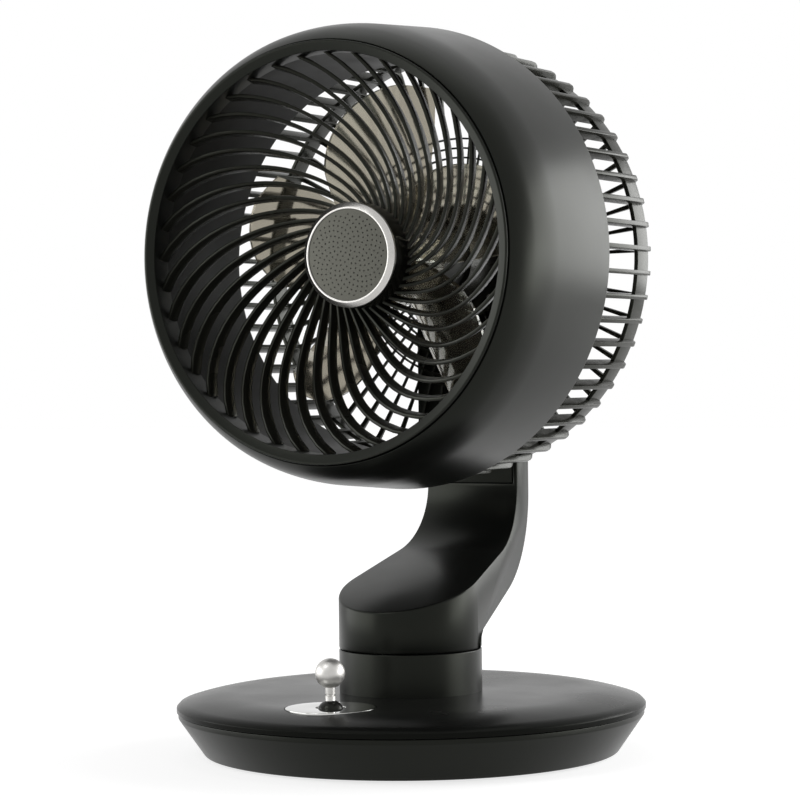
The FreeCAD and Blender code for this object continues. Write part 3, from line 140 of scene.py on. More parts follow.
@dataclass(frozen=True)
class Wiring:
    """Nodes and links of one shader tree."""

    tree: Tree

    @property
    def entry(self) -> bpy.types.NodeOutputs:
        """Sockets that bring values into a group."""
        return self.tree.nodes["In"].outputs

    @property
    def leave(self) -> bpy.types.NodeInputs:
        """Sockets that take values out of a group."""
        return self.tree.nodes["Out"].inputs

    def add(self, kind: str, **values: object) -> Node:
        """Add a shader node.

        Args:
            kind: Node type without its ShaderNode prefix.
            **values: Plain properties of the node.

        Returns:
            The new node.
        """
        node = self.tree.nodes.new(f"ShaderNode{kind}")
        for name, value in values.items():
            setattr(node, name, value)
        return node

    def add_group(self, group: Tree, **values: object) -> Node:
        """Put a node group into the tree with its own values.

        Args:
            group: The group.
            **values: Input name to its value.

        Returns:
            The group's node.
        """
        node = self.add("Group", node_tree=group)
        for label, value in values.items():
            node.inputs[label].default_value = value
        return node

    def link(self, start: Socket, end: Socket) -> None:
        """Lead one socket to another."""
        self.tree.links.new(start, end)

    def noise(self, coordinate: Socket, detail: float, scale: float = 1.0) -> Node:
        """Noise texture on a coordinate.

        Args:
            coordinate: Socket with the coordinate.
            detail: Octaves of the noise.
            scale: Waves per metre.

        Returns:
            The noise node.
        """
        node = self.add("TexNoise")
        node.inputs["Scale"].default_value = scale
        node.inputs["Detail"].default_value = detail
        self.link(coordinate, node.inputs["Vector"])
        return node

    def combined(self, operation: str, first: Socket, second: Socket, clamp: bool = False) -> Socket:
        """One value from two.

        Args:
            operation: What is done with them, as the Math node names it.
            first: Socket with the first value.
            second: Socket with the second value.
            clamp: Whether the result stays between 0 and 1.

        Returns:
            Socket with the result.
        """
        node = self.add("Math", operation=operation, use_clamp=clamp)
        self.link(first, node.inputs[0])
        self.link(second, node.inputs[1])
        return node.outputs["Value"]

    def ranged(self, value: Socket, span: Pair = (0.0, 1.0), smooth: bool = False) -> Node:
        """Map a span of a value to another range, from 0 to 1 where none is set.

        Args:
            value: Socket with the value.
            span: Values that map to the ends of the range.
            smooth: Whether the change starts and ends gently.

        Returns:
            The mapping node.
        """
        node = self.add("MapRange", interpolation_type="SMOOTHSTEP" if smooth else "LINEAR")
        node.inputs["From Min"].default_value, node.inputs["From Max"].default_value = span
        self.link(value, node.inputs["Value"])
        return node

    def roughen(self, value: Socket, span: Pair = (0.0, 1.0)) -> None:
        """Lead a value to a group's Roughness, between its Low and High.

        Args:
            value: Socket with the value.
            span: Values that give the lowest and the highest roughness.
        """
        level = self.ranged(value, span)
        self.link(self.entry["Low"], level.inputs["To Min"])
        self.link(self.entry["High"], level.inputs["To Max"])
        self.link(level.outputs["Result"], self.leave["Roughness"])

    def bump(self, shader: Node, height: Socket, depth: float, strength: float) -> None:
        """Bump the surface by a height.

        Args:
            shader: Principled shader of the surface.
            height: Socket with the height, from 0 to 1.
            depth: Depth of the bump in metres.
            strength: Share of the bump that shows.
        """
        node = self.add("Bump")
        node.inputs["Strength"].default_value = strength
        node.inputs["Distance"].default_value = depth
        self.link(height, node.inputs["Height"])
        self.link(node.outputs["Normal"], shader.inputs["Normal"])

    def reach(self, heading: Socket, way: Triple) -> Socket:
        """How far a direction reaches along a way.

        Args:
            heading: Socket with the direction.
            way: The way, of length 1.

        Returns:
            Socket with the reach.
        """
        dot = self.add("VectorMath", operation="DOT_PRODUCT")
        dot.inputs[1].default_value = way
        self.link(heading, dot.inputs[0])
        return dot.outputs["Value"]

    def faded(self, value: Socket, span: Pair, levels: Pair) -> Socket:
        """Brightness that changes smoothly along a value.

        Args:
            value: Socket that the brightness follows.
            span: Values where the change starts and ends.
            levels: Brightness at those two.

        Returns:
            Socket with the brightness.
        """
        fade = self.ranged(value, span, smooth=True)
        fade.inputs["To Min"].default_value, fade.inputs["To Max"].default_value = levels
        return fade.outputs["Result"]

    def lit_or_seen(self) -> Node:
        """Choice between two brightnesses by the kind of ray.

        Returns:
            Mix of the one that lights the fan, A, and the one that is seen directly, in gloss or in glass, B.
        """
        rays = self.add("LightPath").outputs
        clear = self.combined("MAXIMUM", rays["Is Camera Ray"], rays["Is Transmission Ray"])
        seen = self.combined("MAXIMUM", clear, rays["Is Glossy Ray"])
        choice = self.add("Mix", data_type="FLOAT")
        self.link(seen, choice.inputs["Factor"])
        return choice


def start_group(name: str, inputs: dict[str, tuple[str, object]], outputs: dict[str, str]) -> Wiring:
    """Start a shader node group with named sockets.

    Args:
        name: Name of the group.
        inputs: Socket name to its kind and default.
        outputs: Socket name to its kind.

    Returns:
        The group's wiring, with its input and output nodes in place.
    """
    tree = bpy.data.node_groups.new(name, "ShaderNodeTree")
    for label, (kind, default) in inputs.items():
        socket = tree.interface.new_socket(label, in_out="INPUT", socket_type=f"NodeSocket{kind}")
        socket.default_value = default
    for label, kind in outputs.items():
        tree.interface.new_socket(label, in_out="OUTPUT", socket_type=f"NodeSocket{kind}")
    tree.nodes.new("NodeGroupInput").name = "In"
    tree.nodes.new("NodeGroupOutput").name = "Out"
    return Wiring(tree)


@cache
def grain_group() -> Tree:
    """Fine moulded grain: a height for the bump and a roughness that varies over the surface.

    Returns:
        The group, built once.
    """
    wiring = start_group("moulded_grain", {
        "Grain": ("Float", 2600.0), "Mottle": ("Float", 22.0), "Low": ("Float", 0.3), "High": ("Float", 0.45),
    }, {"Height": "Float", "Roughness": "Float"})
    place = wiring.add("TexCoord").outputs["Object"]
    fine = wiring.noise(place, GRAIN_OCTAVES)
    wiring.link(wiring.entry["Grain"], fine.inputs["Scale"])
    wiring.link(fine.outputs["Fac"], wiring.leave["Height"])
    broad = wiring.noise(place, MOTTLE_OCTAVES)
    wiring.link(wiring.entry["Mottle"], broad.inputs["Scale"])
    wiring.roughen(broad.outputs["Fac"], MOTTLE_SPAN)
    return wiring.tree


@cache
def dust_group() -> Tree:
    """Thin, patchy dust on faces that look up, over a clean colour.

    Returns:
        The group, built once.
    """
    wiring = start_group("settled_dust", {
        "Clean": ("Color", opaque(WHITE)), "Dust": ("Color", opaque(DUST)), "Amount": ("Float", 0.1),
    }, {"Color": "Color"})
    coordinates = wiring.add("TexCoord").outputs
    parts = wiring.add("SeparateXYZ")
    wiring.link(coordinates["Normal"], parts.inputs["Vector"])
    facing = wiring.ranged(parts.outputs["Z"], DUST_FACING)
    patches = wiring.noise(coordinates["Object"], DUST_OCTAVES, DUST_PATCHES)
    cover = wiring.combined("MULTIPLY", facing.outputs["Result"], patches.outputs["Fac"])
    share = wiring.combined("MULTIPLY", cover, wiring.entry["Amount"], clamp=True)
    blend = wiring.add("Mix", data_type="RGBA")
    wiring.link(share, blend.inputs["Factor"])
    wiring.link(wiring.entry["Clean"], blend.inputs["A"])
    wiring.link(wiring.entry["Dust"], blend.inputs["B"])
    wiring.link(blend.outputs["Result"], wiring.leave["Color"])
    return wiring.tree


@cache
def turning_group() -> Tree:
    """Fine rings left by turning: a height and a roughness about the Z axis of the coordinate given.

    Returns:
        The group, built once.
    """
    wiring = start_group("turning_marks", {
        "Vector": ("Vector", ORIGIN), "Marks": ("Float", 900.0), "Low": ("Float", 0.2),
        "High": ("Float", 0.3),
    }, {"Height": "Float", "Roughness": "Float"})
    rings = wiring.add("TexWave", wave_type="RINGS", rings_direction="Z")
    rings.inputs["Distortion"].default_value = MARK_DISTORTION
    rings.inputs["Detail"].default_value = MARK_OCTAVES
    wiring.link(wiring.entry["Vector"], rings.inputs["Vector"])
    wiring.link(wiring.entry["Marks"], rings.inputs["Scale"])
    wiring.link(rings.outputs["Fac"], wiring.leave["Height"])
    wiring.roughen(rings.outputs["Fac"])
    return wiring.tree


def start_material(name: str) -> tuple[Material, Wiring, Node]:
    """New node material.

    Args:
        name: Name of the material.

    Returns:
        The material, its wiring and its Principled shader.
    """
    material = bpy.data.materials.new(name)
    material.use_nodes = True
    return material, Wiring(material.node_tree), material.node_tree.nodes["Principled BSDF"]


@dataclass(frozen=True)
class Finish(ABC):
    """Finish of a piece: a colour, and a roughness that wanders between two levels."""

    name: str
    colour: Triple
    low: float
    high: float

    @abstractmethod
    def dress(self, wiring: Wiring, shader: Node) -> None:
        """Set the shader up, which each kind of finish does in its own way."""

    def material(self) -> Material:
        """Material of this finish, made once.

        Returns:
            The material.
        """
        if self.name in bpy.data.materials:
            return bpy.data.materials[self.name]
        material, wiring, shader = start_material(self.name)
        self.dress(wiring, shader)
        return material


@dataclass(frozen=True)
class MouldedPlastic(Finish):
    """Satin or gloss moulding with a fine grain and a trace of dust."""

    dust: float = 0.1
    grain: float = 2600.0
    depth: float = 0.00004
    strength: float = 0.25
    specular: float = 0.16
    transmission: float = 0.0
    gloss_tint: Triple = (0.94, 1.0, 0.84)

    def dress(self, wiring: Wiring, shader: Node) -> None:
        """Set the shader up as a moulding.

        Args:
            wiring: Wiring of the material.
            shader: Its Principled shader.
        """
        sockets = shader.inputs
        grain = wiring.add_group(grain_group(), Grain=self.grain, Low=self.low, High=self.high)
        sockets["Base Color"].default_value = opaque(self.colour)
        if self.dust:
            dust = wiring.add_group(dust_group(), Clean=opaque(self.colour), Amount=self.dust)
            wiring.link(dust.outputs["Color"], sockets["Base Color"])
        wiring.link(grain.outputs["Roughness"], sockets["Roughness"])
        sockets["Specular IOR Level"].default_value = self.specular
        sockets["Specular Tint"].default_value = opaque(self.gloss_tint)
        sockets["Transmission Weight"].default_value = self.transmission
        wiring.bump(shader, grain.outputs["Height"], self.depth, self.strength)


@dataclass(frozen=True)
class TurnedMetal(Finish):
    """Metal with fine turning marks about an axis and a trace of dust."""

    dust: float = 0.06
    marks: float = 900.0
    depth: float = 0.00001
    strength: float = 0.2
    centre: Triple = ORIGIN
    turn: Turn = Turn.UPRIGHT

    def dress(self, wiring: Wiring, shader: Node) -> None:
        """Set the shader up as turned metal.

        Args:
            wiring: Wiring of the material.
            shader: Its Principled shader.
        """
        sockets = shader.inputs
        shift = wiring.add("Mapping", vector_type="TEXTURE")
        shift.inputs["Location"].default_value = self.centre
        if self.turn is Turn.FAN:
            shift.inputs["Rotation"].default_value = (QUARTER_TURN, 0.0, 0.0)
        wiring.link(wiring.add("TexCoord").outputs["Object"], shift.inputs["Vector"])
        marks = wiring.add_group(turning_group(), Marks=self.marks, Low=self.low, High=self.high)
        wiring.link(shift.outputs["Vector"], marks.inputs["Vector"])
        dust = wiring.add_group(dust_group(), Clean=opaque(self.colour), Amount=self.dust)
        wiring.link(dust.outputs["Color"], sockets["Base Color"])
        wiring.link(marks.outputs["Roughness"], sockets["Roughness"])
        sockets["Metallic"].default_value = 1.0
        wiring.bump(shader, marks.outputs["Height"], self.depth, self.strength)


CHARCOAL = MouldedPlastic("satin_charcoal", (0.006, 0.0064, 0.0058), 0.28, 0.36, dust=0.02)
CHARCOAL_TOP = MouldedPlastic("polished_charcoal", CHARCOAL.colour, 0.2, 0.28, dust=0.03, specular=0.05)
GRILLE_DARK = MouldedPlastic("grille_charcoal", (0.016, 0.016, 0.013), 0.22, 0.3, dust=0.02)
# Duct colour darker than the drum's charcoal: painted shade inside the drum, where the real moulding is the
# same plastic.
DUCT_PAINTED_SHADE = MouldedPlastic("duct_painted_shade", (0.004, 0.004, 0.0036), 0.36, 0.5, dust=0.0, specular=0.06)
SMOKE = MouldedPlastic("smoke_blade", (0.40, 0.372, 0.30), 0.05, 0.09, dust=0.05, strength=0.03,
                       transmission=0.9)
PIVOT = MouldedPlastic("pivot_black", (0.012, 0.012, 0.012), 0.18, 0.25, dust=0.0)
BLACK = MouldedPlastic("inner_black", (0.01, 0.01, 0.01), 0.45, 0.6)
NATURAL = MouldedPlastic("natural_bearing", (0.55, 0.55, 0.52), 0.35, 0.5)
LAMINATE = MouldedPlastic("green_laminate", (0.02, 0.14, 0.06), 0.3, 0.45)
RUBBER = MouldedPlastic("foot_rubber", (0.022, 0.022, 0.022), 0.75, 0.9, grain=1400.0, depth=0.0001)
CHROME = TurnedMetal("bright_ring", (0.5, 0.49, 0.47), 0.2, 0.3, turn=Turn.FAN, centre=tuple(HEAD_AXIS))
HUB_METAL = TurnedMetal("hub_plate_satin", (0.065, 0.065, 0.056), 0.2, 0.34, turn=Turn.FAN,
                        centre=tuple(HEAD_AXIS))
SATIN_STEEL = TurnedMetal("satin_steel", (0.4, 0.395, 0.375), 0.18, 0.26, centre=tuple(LEVER_AXIS))
MIRROR_STEEL = TurnedMetal("mirror_plate", (0.5, 0.5, 0.485), 0.03, 0.06, strength=0.05,
                           centre=tuple(LEVER_AXIS))
PLATED = TurnedMetal("plated_steel", (0.48, 0.48, 0.47), 0.28, 0.42)
IRON = TurnedMetal("raw_iron", (0.2, 0.2, 0.2), 0.45, 0.6)
BRONZE = TurnedMetal("bearing_bronze", (0.5, 0.36, 0.2), 0.35, 0.5)


def rounded_path(corners: Sequence[Corner], closed: bool) -> list[Vector]:
    """Profile points with rounded corners.

    Args:
        corners: Corners (along the axis, radius) or (along, radius, rounding), in millimetres.
        closed: Whether the last corner joins the first.

    Returns:
        Points along the profile.
    """
    points: list[Vector] = []
    for index, corner in enumerate(corners):
        here = Vector(corner[:2])
        at_end = not closed and index in (0, len(corners) - 1)
        if len(corner) < 3 or at_end:
            points.append(here)
            continue
        back = (Vector(corners[index - 1][:2]) - here).normalized()
        ahead = (Vector(corners[(index + 1) % len(corners)][:2]) - here).normalized()
        half = back.angle(ahead) / 2.0
        centre = here + (back + ahead).normalized() * corner[2] / math.sin(half)
        start = here + back * corner[2] / math.tan(half) - centre
        end = here + ahead * corner[2] / math.tan(half) - centre
        for step in range(ROUND_STEPS + 1):
            share = step / ROUND_STEPS
            points.append(centre + (start * (1.0 - share) + end * share).normalized() * corner[2])
    return points


def through(values: Sequence[float], share: float) -> float:
    """Smooth curve through evenly spaced values.

    Args:
        values: Values that the curve passes through.
        share: Place along them, from 0 to 1.

    Returns:
        Value of the curve there.
    """
    spots = range(len(values))
    place = share * spots[-1]
    total = 0.0
    for spot, value in zip(spots, values):
        others = [other for other in spots if other != spot]
        total += value * math.prod((place - other) / (spot - other) for other in others)
    return total


def turned(corners: Sequence[Corner], turn: Turn, closed: bool = True, steps: int = Sides.BASE,
           centre: Vector | None = None) -> Mesh:
    """Spin a profile a full turn.

    Args:
        corners: Profile corners, as for rounded_path.
        turn: Axis of the spin.
        closed: Whether the profile is a closed outline, clear of the axis.
        steps: Sides of the turned form.
        centre: Point of the axis, in metres; the head's axis or the origin where none is given.

    Returns:
        The turned mesh.
    """
    bm = bmesh.new()
    upright = turn is Turn.UPRIGHT
    for along, radius in rounded_path(corners, closed):
        bm.verts.new(Vector((radius, 0.0, along) if upright else (0.0, along, radius)) * MM)
    chain = list(bm.verts)
    for first, second in zip(chain, chain[1:] + (chain[:1] if closed else [])):
        bm.edges.new((first, second))
    bmesh.ops.spin(bm, geom=bm.verts[:] + bm.edges[:], cent=ORIGIN, axis=turn.value, angle=FULL_TURN,
                   steps=steps, use_merge=True)
    bmesh.ops.remove_doubles(bm, verts=bm.verts, dist=MERGE)
    bmesh.ops.dissolve_degenerate(bm, edges=bm.edges, dist=MERGE)
    bmesh.ops.recalc_face_normals(bm, faces=bm.faces)
    shift = centre if centre is not None else (Vector() if upright else HEAD_AXIS)
    bmesh.ops.translate(bm, verts=bm.verts, vec=shift)
    return bm


def joined(*parts: Mesh) -> Mesh:
    """One mesh from several.

    Args:
        *parts: Meshes to join; they are freed.

    Returns:
        The new mesh.
    """
    whole = bmesh.new()
    for part in parts:
        mesh = bpy.data.meshes.new("part")
        part.to_mesh(mesh)
        part.free()
        whole.from_mesh(mesh)
        bpy.data.meshes.remove(mesh)
    return whole


def thickened(bm: Mesh, way: Vector) -> None:
    """Extrude the flat faces of a mesh into a closed slab.

    Args:
        bm: Mesh of flat faces.
        way: Direction and depth of the slab, in metres.
    """
    grown = bmesh.ops.extrude_face_region(bm, geom=bm.faces[:])["geom"]
    bmesh.ops.translate(bm, verts=[item for item in grown if isinstance(item, bmesh.types.BMVert)], vec=way)


def repeated(bm: Mesh, count: int) -> Mesh:
    """Repeat a mesh around the fan's axis.

    Args:
        bm: Mesh of one member, with the axis through the origin.
        count: Members in the full ring.

    Returns:
        The same mesh with all members, moved to the head.
    """
    turn = FULL_TURN * (count - 1) / count
    bmesh.ops.spin(bm, geom=bm.verts[:] + bm.edges[:] + bm.faces[:], cent=ORIGIN, axis=Turn.FAN.value,
                   angle=turn, steps=count - 1, use_duplicate=True)
    bmesh.ops.recalc_face_normals(bm, faces=bm.faces)
    bmesh.ops.translate(bm, verts=bm.verts, vec=HEAD_AXIS)
    return bm


def softened(bm: Mesh, offset: float, angle: float) -> Mesh:
    """Round the sharp edges of a mesh.

    Args:
        bm: Mesh to round.
        offset: Width of the rounding in millimetres.
        angle: Edges sharper than this, in degrees, are rounded.

    Returns:
        The same mesh.
    """
    limit = math.radians(angle)
    sharp = [edge for edge in bm.edges if edge.is_manifold and edge.calc_face_angle() > limit]
    bmesh.ops.bevel(bm, geom=sharp, offset=offset * MM, segments=EDGE_STEPS, profile=0.5, affect="EDGES",
                    material=-1, clamp_overlap=False)
    return bm


def copied(node: str) -> Mesh:
    """Copy the mesh of a CAD node.

    Args:
        node: Name of the node.

    Returns:
        The mesh with its doubles merged and its flat faces joined.
    """
    bm = bmesh.new()
    bm.from_mesh(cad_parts[node].data)
    bmesh.ops.remove_doubles(bm, verts=bm.verts, dist=MERGE)
    bmesh.ops.dissolve_limit(bm, angle_limit=FLAT_ANGLE, verts=bm.verts, edges=bm.edges)
    bmesh.ops.recalc_face_normals(bm, faces=bm.faces)
    return bm


def as_object(bm: Mesh, name: str) -> bpy.types.Object:
    """Turn a mesh into an object of the scene.

    Args:
        bm: Mesh, which is freed.
        name: Name of the object and its mesh.

    Returns:
        The object.
    """
    mesh = bpy.data.meshes.new(name)
    bm.to_mesh(mesh)
    bm.free()
    item = bpy.data.objects.new(name, mesh)
    bpy.context.scene.collection.objects.link(item)
    return item


def carved(bm: Mesh, cutter: Mesh) -> Mesh:
    """Cut a closed mesh out of another.

    Args:
        bm: Mesh to cut; it is freed.
        cutter: Closed mesh to take away; it is freed.

    Returns:
        A new mesh.
    """
    target, tool = as_object(bm, "carved"), as_object(cutter, "cutter")
    modifier = target.modifiers.new("cut", "BOOLEAN")
    modifier.operation = "DIFFERENCE"
    modifier.solver = "EXACT"
    modifier.object = tool
    result = bmesh.new()
    result.from_object(target, bpy.context.evaluated_depsgraph_get())
    for item in (target, tool):
        data = item.data
        bpy.data.objects.remove(item)
        bpy.data.meshes.remove(data)
    return result


def settle(bm: Mesh, name: str, finish: Finish, body: Body, replaced: Sequence[str] = ()) -> None:
    """Turn a mesh into a piece of the fan.

    Args:
        bm: Mesh in the frame's place; it is freed.
        name: Name of the piece.
        finish: Its finish.
        body: Body that it rides on.
        replaced: CAD nodes that it stands for.
    """
    for face in bm.faces:
        face.smooth = True
    piece = as_object(bm, name)
    piece.data.set_sharp_from_angle(angle=SMOOTH_ANGLE)
    piece.data.materials.append(finish.material())
    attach(piece, body.value)
    if replaced:
        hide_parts(*replaced)
    LOG.info("%s: %d faces on %s", name, len(piece.data.polygons), body.value)


@dataclass
class Base:
    """Round weighted base with its collar, in millimetres."""

    pan_low: float = 1.0
    pan_wall: float = 2.5
    pan_foot_radius: float = 88.3
    pan_foot_round: float = 1.5
    groove_inner: float = 66.0
    groove_outer: float = 76.0
    groove_top: float = 2.2
    foot_gap: float = 0.2
    foot_round: float = 0.5
    rim_radius: float = 99.3
    rim_low: float = 16.8
    rim_high: float = 18.8
    rim_round: float = 1.0
    seam_round: float = 0.3
    mouth_gap: float = 0.4
    mouth_reach: float = 8.0
    mouth_shift: float = 5.0
    cover_radius: float = 100.0
    cover_low: float = 19.1
    cover_edge: float = 22.5
    cover_top: float = 26.4
    cover_wall: float = 2.5
    cover_bore: float = 20.0
    cover_chamfer: float = 1.4
    cover_round: float = 0.6
    flat_radius: float = 74.0
    dome_steps: int = 8
    plate_radius: float = 18.8
    plate_recess: float = 1.5
    pivot_bore: float = 6.0
    cutter_low: float = 20.0
    cutter_high: float = 30.0
    collar_radius: float = 30.5
    collar_inner: float = 28.0
    collar_top: float = 44.3
    collar_wall: float = 3.0
    collar_round: float = 0.5
    washer_radius: float = 25.0
    washer_recess: float = 1.0
    sleeve_low: float = 28.0
    sleeve_inner: float = 12.0
    sleeve_outer: float = 15.0

    def build_pan(self) -> None:
        """Conical lower tray with the groove for the rubber ring and the mouth of the inlet."""
        floor, rim_inner = self.pan_low + self.pan_wall, self.rim_radius - self.pan_wall
        pan = turned([
            (self.pan_low, 0.0), (self.pan_low, self.groove_inner), (self.groove_top, self.groove_inner),
            (self.groove_top, self.groove_outer), (self.pan_low, self.groove_outer),
            (self.pan_low, self.pan_foot_radius, self.pan_foot_round),
            (self.rim_low, self.rim_radius, self.rim_round),
            (self.rim_high, self.rim_radius, self.seam_round), (self.rim_high, rim_inner),
            (self.rim_low, rim_inner), (floor, self.pan_foot_radius - self.pan_wall), (floor, 0.0)],
            Turn.UPRIGHT, closed=False)
        low, high = (Vector(corner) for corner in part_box("usb_inlet"))
        room = Vector((self.mouth_gap, self.mouth_reach, self.mouth_gap)) * MM
        mouth = bmesh.new()
        bmesh.ops.create_cube(mouth, size=1.0)
        bmesh.ops.scale(mouth, verts=mouth.verts, vec=high - low + room)
        middle = middle_of("usb_inlet") + Vector((0.0, self.mouth_shift * MM, 0.0))
        bmesh.ops.translate(mouth, verts=mouth.verts, vec=middle)
        settle(carved(pan, mouth), "base_tray", CHARCOAL, Body.BASE, ["base_pan"])

    def build_cover(self) -> None:
        """Crowned cover with the recess for the lever's plate."""
        edge, skirt = self.cover_radius - self.cover_chamfer, self.cover_radius - self.cover_wall
        under, shoulder = self.cover_top - self.cover_wall, self.cover_edge - self.cover_chamfer
        drop, width = self.cover_top - self.cover_edge, edge - self.flat_radius
        shares = [step / self.dome_steps for step in range(self.dome_steps)]
        dome = [(self.cover_top - drop * share ** 2, self.flat_radius + width * share) for share in shares]
        cover = turned([
            (under, self.cover_bore), (self.cover_top, self.cover_bore), *dome, (self.cover_edge, edge),
            (shoulder, self.cover_radius, self.cover_round),
            (self.cover_low, self.cover_radius, self.seam_round), (self.cover_low, skirt), (shoulder, skirt),
            (under, self.flat_radius)], Turn.UPRIGHT)
        floor = self.cover_top - self.plate_recess
        seat = turned([
            (self.cutter_low, 0.0), (self.cutter_low, self.pivot_bore), (floor, self.pivot_bore),
            (floor, self.plate_radius), (self.cutter_high, self.plate_radius), (self.cutter_high, 0.0)],
            Turn.UPRIGHT, closed=False, steps=Sides.CUP, centre=LEVER_AXIS)
        settle(carved(cover, seat), "base_crown", CHARCOAL_TOP, Body.BASE, ["base_cover"])

    def build_collar(self) -> None:
        """Fixed collar that the neck turns on, with the sleeve for the bush."""
        ledge = self.collar_top - self.washer_recess
        under = ledge - self.collar_wall
        collar = turned([
            (self.cover_top, self.collar_radius), (self.collar_top, self.collar_radius, self.collar_round),
            (self.collar_top, self.washer_radius), (ledge, self.washer_radius), (ledge, self.sleeve_inner),
            (self.sleeve_low, self.sleeve_inner), (self.sleeve_low, self.sleeve_outer),
            (under, self.sleeve_outer), (under, self.collar_inner), (self.cover_top, self.collar_inner)],
            Turn.UPRIGHT)
        settle(collar, "collar_sleeve", CHARCOAL, Body.BASE, ["swivel_collar"])

    def build_foot(self) -> None:
        """Rubber ring in the groove of the tray."""
        inner, outer = self.groove_inner + self.foot_gap, self.groove_outer - self.foot_gap
        foot = turned([(0.0, inner, self.foot_round), (0.0, outer, self.foot_round), (self.groove_top, outer),
                       (self.groove_top, inner)], Turn.UPRIGHT)
        settle(foot, "rubber_foot", RUBBER, Body.BASE, ["foot_ring"])

    def build(self) -> None:
        """Build every piece of the base."""
        self.build_pan()
        self.build_cover()
        self.build_collar()
        self.build_foot()


@dataclass
class Lever:
    """Ball lever in its polished plate, in millimetres."""

    plate_radius: float = 18.5
    plate_bore: float = 6.0
    plate_top: float = 26.5
    plate_low: float = 24.9
    plate_round: float = 0.3
    pivot_height: float = 24.0
    pivot_radius: float = 5.7
    pivot_flat: float = 2.2
    tail_low: float = 13.0
    tail_radius: float = 1.2
    stem_low: float = 18.3
    stem_top: float = 38.3
    stem_radius: float = 2.1
    groove_low: float = 31.2
    groove_high: float = 32.1
    groove_slope: float = 0.2
    groove_radius: float = 1.7
    groove_round: float = 0.15
    knob_height: float = 40.4
    knob_radius: float = 6.1
    ball_steps: int = 28

    def ball(self, height: float, radius: float, flat: float) -> Mesh:
        """Round ball with a flat where the stem enters.

        Args:
            height: Height of its centre.
            radius: Radius of the ball.
            flat: Radius of the flat below.

        Returns:
            The ball's mesh.
        """
        low = math.asin(flat / radius)
        angles = [low + (math.pi - low) * step / self.ball_steps for step in range(self.ball_steps)]
        arc = [(height - radius * math.cos(angle), radius * math.sin(angle)) for angle in angles]
        return turned([(arc[0][0], 0.0), *arc, (height + radius, 0.0)], Turn.UPRIGHT, closed=False,
                      steps=Sides.BALL, centre=LEVER_AXIS)

    def build_plate(self) -> None:
        """Polished disc that lies in the cover."""
        plate = turned([
            (self.plate_low, self.plate_bore), (self.plate_low, self.plate_radius),
            (self.plate_top, self.plate_radius, self.plate_round),
            (self.plate_top, self.plate_bore, self.plate_round)],
            Turn.UPRIGHT, steps=Sides.DISC, centre=LEVER_AXIS)
        settle(plate, "lever_disc", MIRROR_STEEL, Body.BASE, ["lever_plate"])

    def build_stem(self) -> None:
        """Grooved rod with a thin tail."""
        stem = turned([
            (self.tail_low, 0.0), (self.tail_low, self.tail_radius), (self.stem_low, self.tail_radius),
            (self.stem_low, self.stem_radius), (self.groove_low, self.stem_radius, self.groove_round),
            (self.groove_low + self.groove_slope, self.groove_radius),
            (self.groove_high - self.groove_slope, self.groove_radius),
            (self.groove_high, self.stem_radius, self.groove_round), (self.stem_top, self.stem_radius),
            (self.stem_top, 0.0)], Turn.UPRIGHT, closed=False, steps=Sides.ROD, centre=LEVER_AXIS)
        settle(stem, "lever_rod", SATIN_STEEL, Body.LEVER, ["lever_stem"])

    def build(self) -> None:
        """Build the plate, pivot, stem and knob."""
        self.build_plate()
        pivot = self.ball(self.pivot_height, self.pivot_radius, self.pivot_flat)
        settle(pivot, "lever_dome", PIVOT, Body.LEVER, ["lever_pivot_ball"])
        self.build_stem()
        knob = self.ball(self.knob_height, self.knob_radius, self.stem_radius)
        settle(knob, "lever_ball", SATIN_STEEL, Body.LEVER, ["lever_knob"])


@dataclass
class Neck:
    """Swept neck with its front panel, in millimetres and degrees."""

    edge_round: float = 0.8
    edge_sharp: float = 50.0

    def build(self) -> None:
        """Round the edges of the shell and the panel."""
        for node, name in (("neck_shell", "neck_case"), ("neck_front_panel", "neck_cover")):
            case = softened(copied(node), self.edge_round, self.edge_sharp)
            settle(case, name, CHARCOAL, Body.NECK, [node])


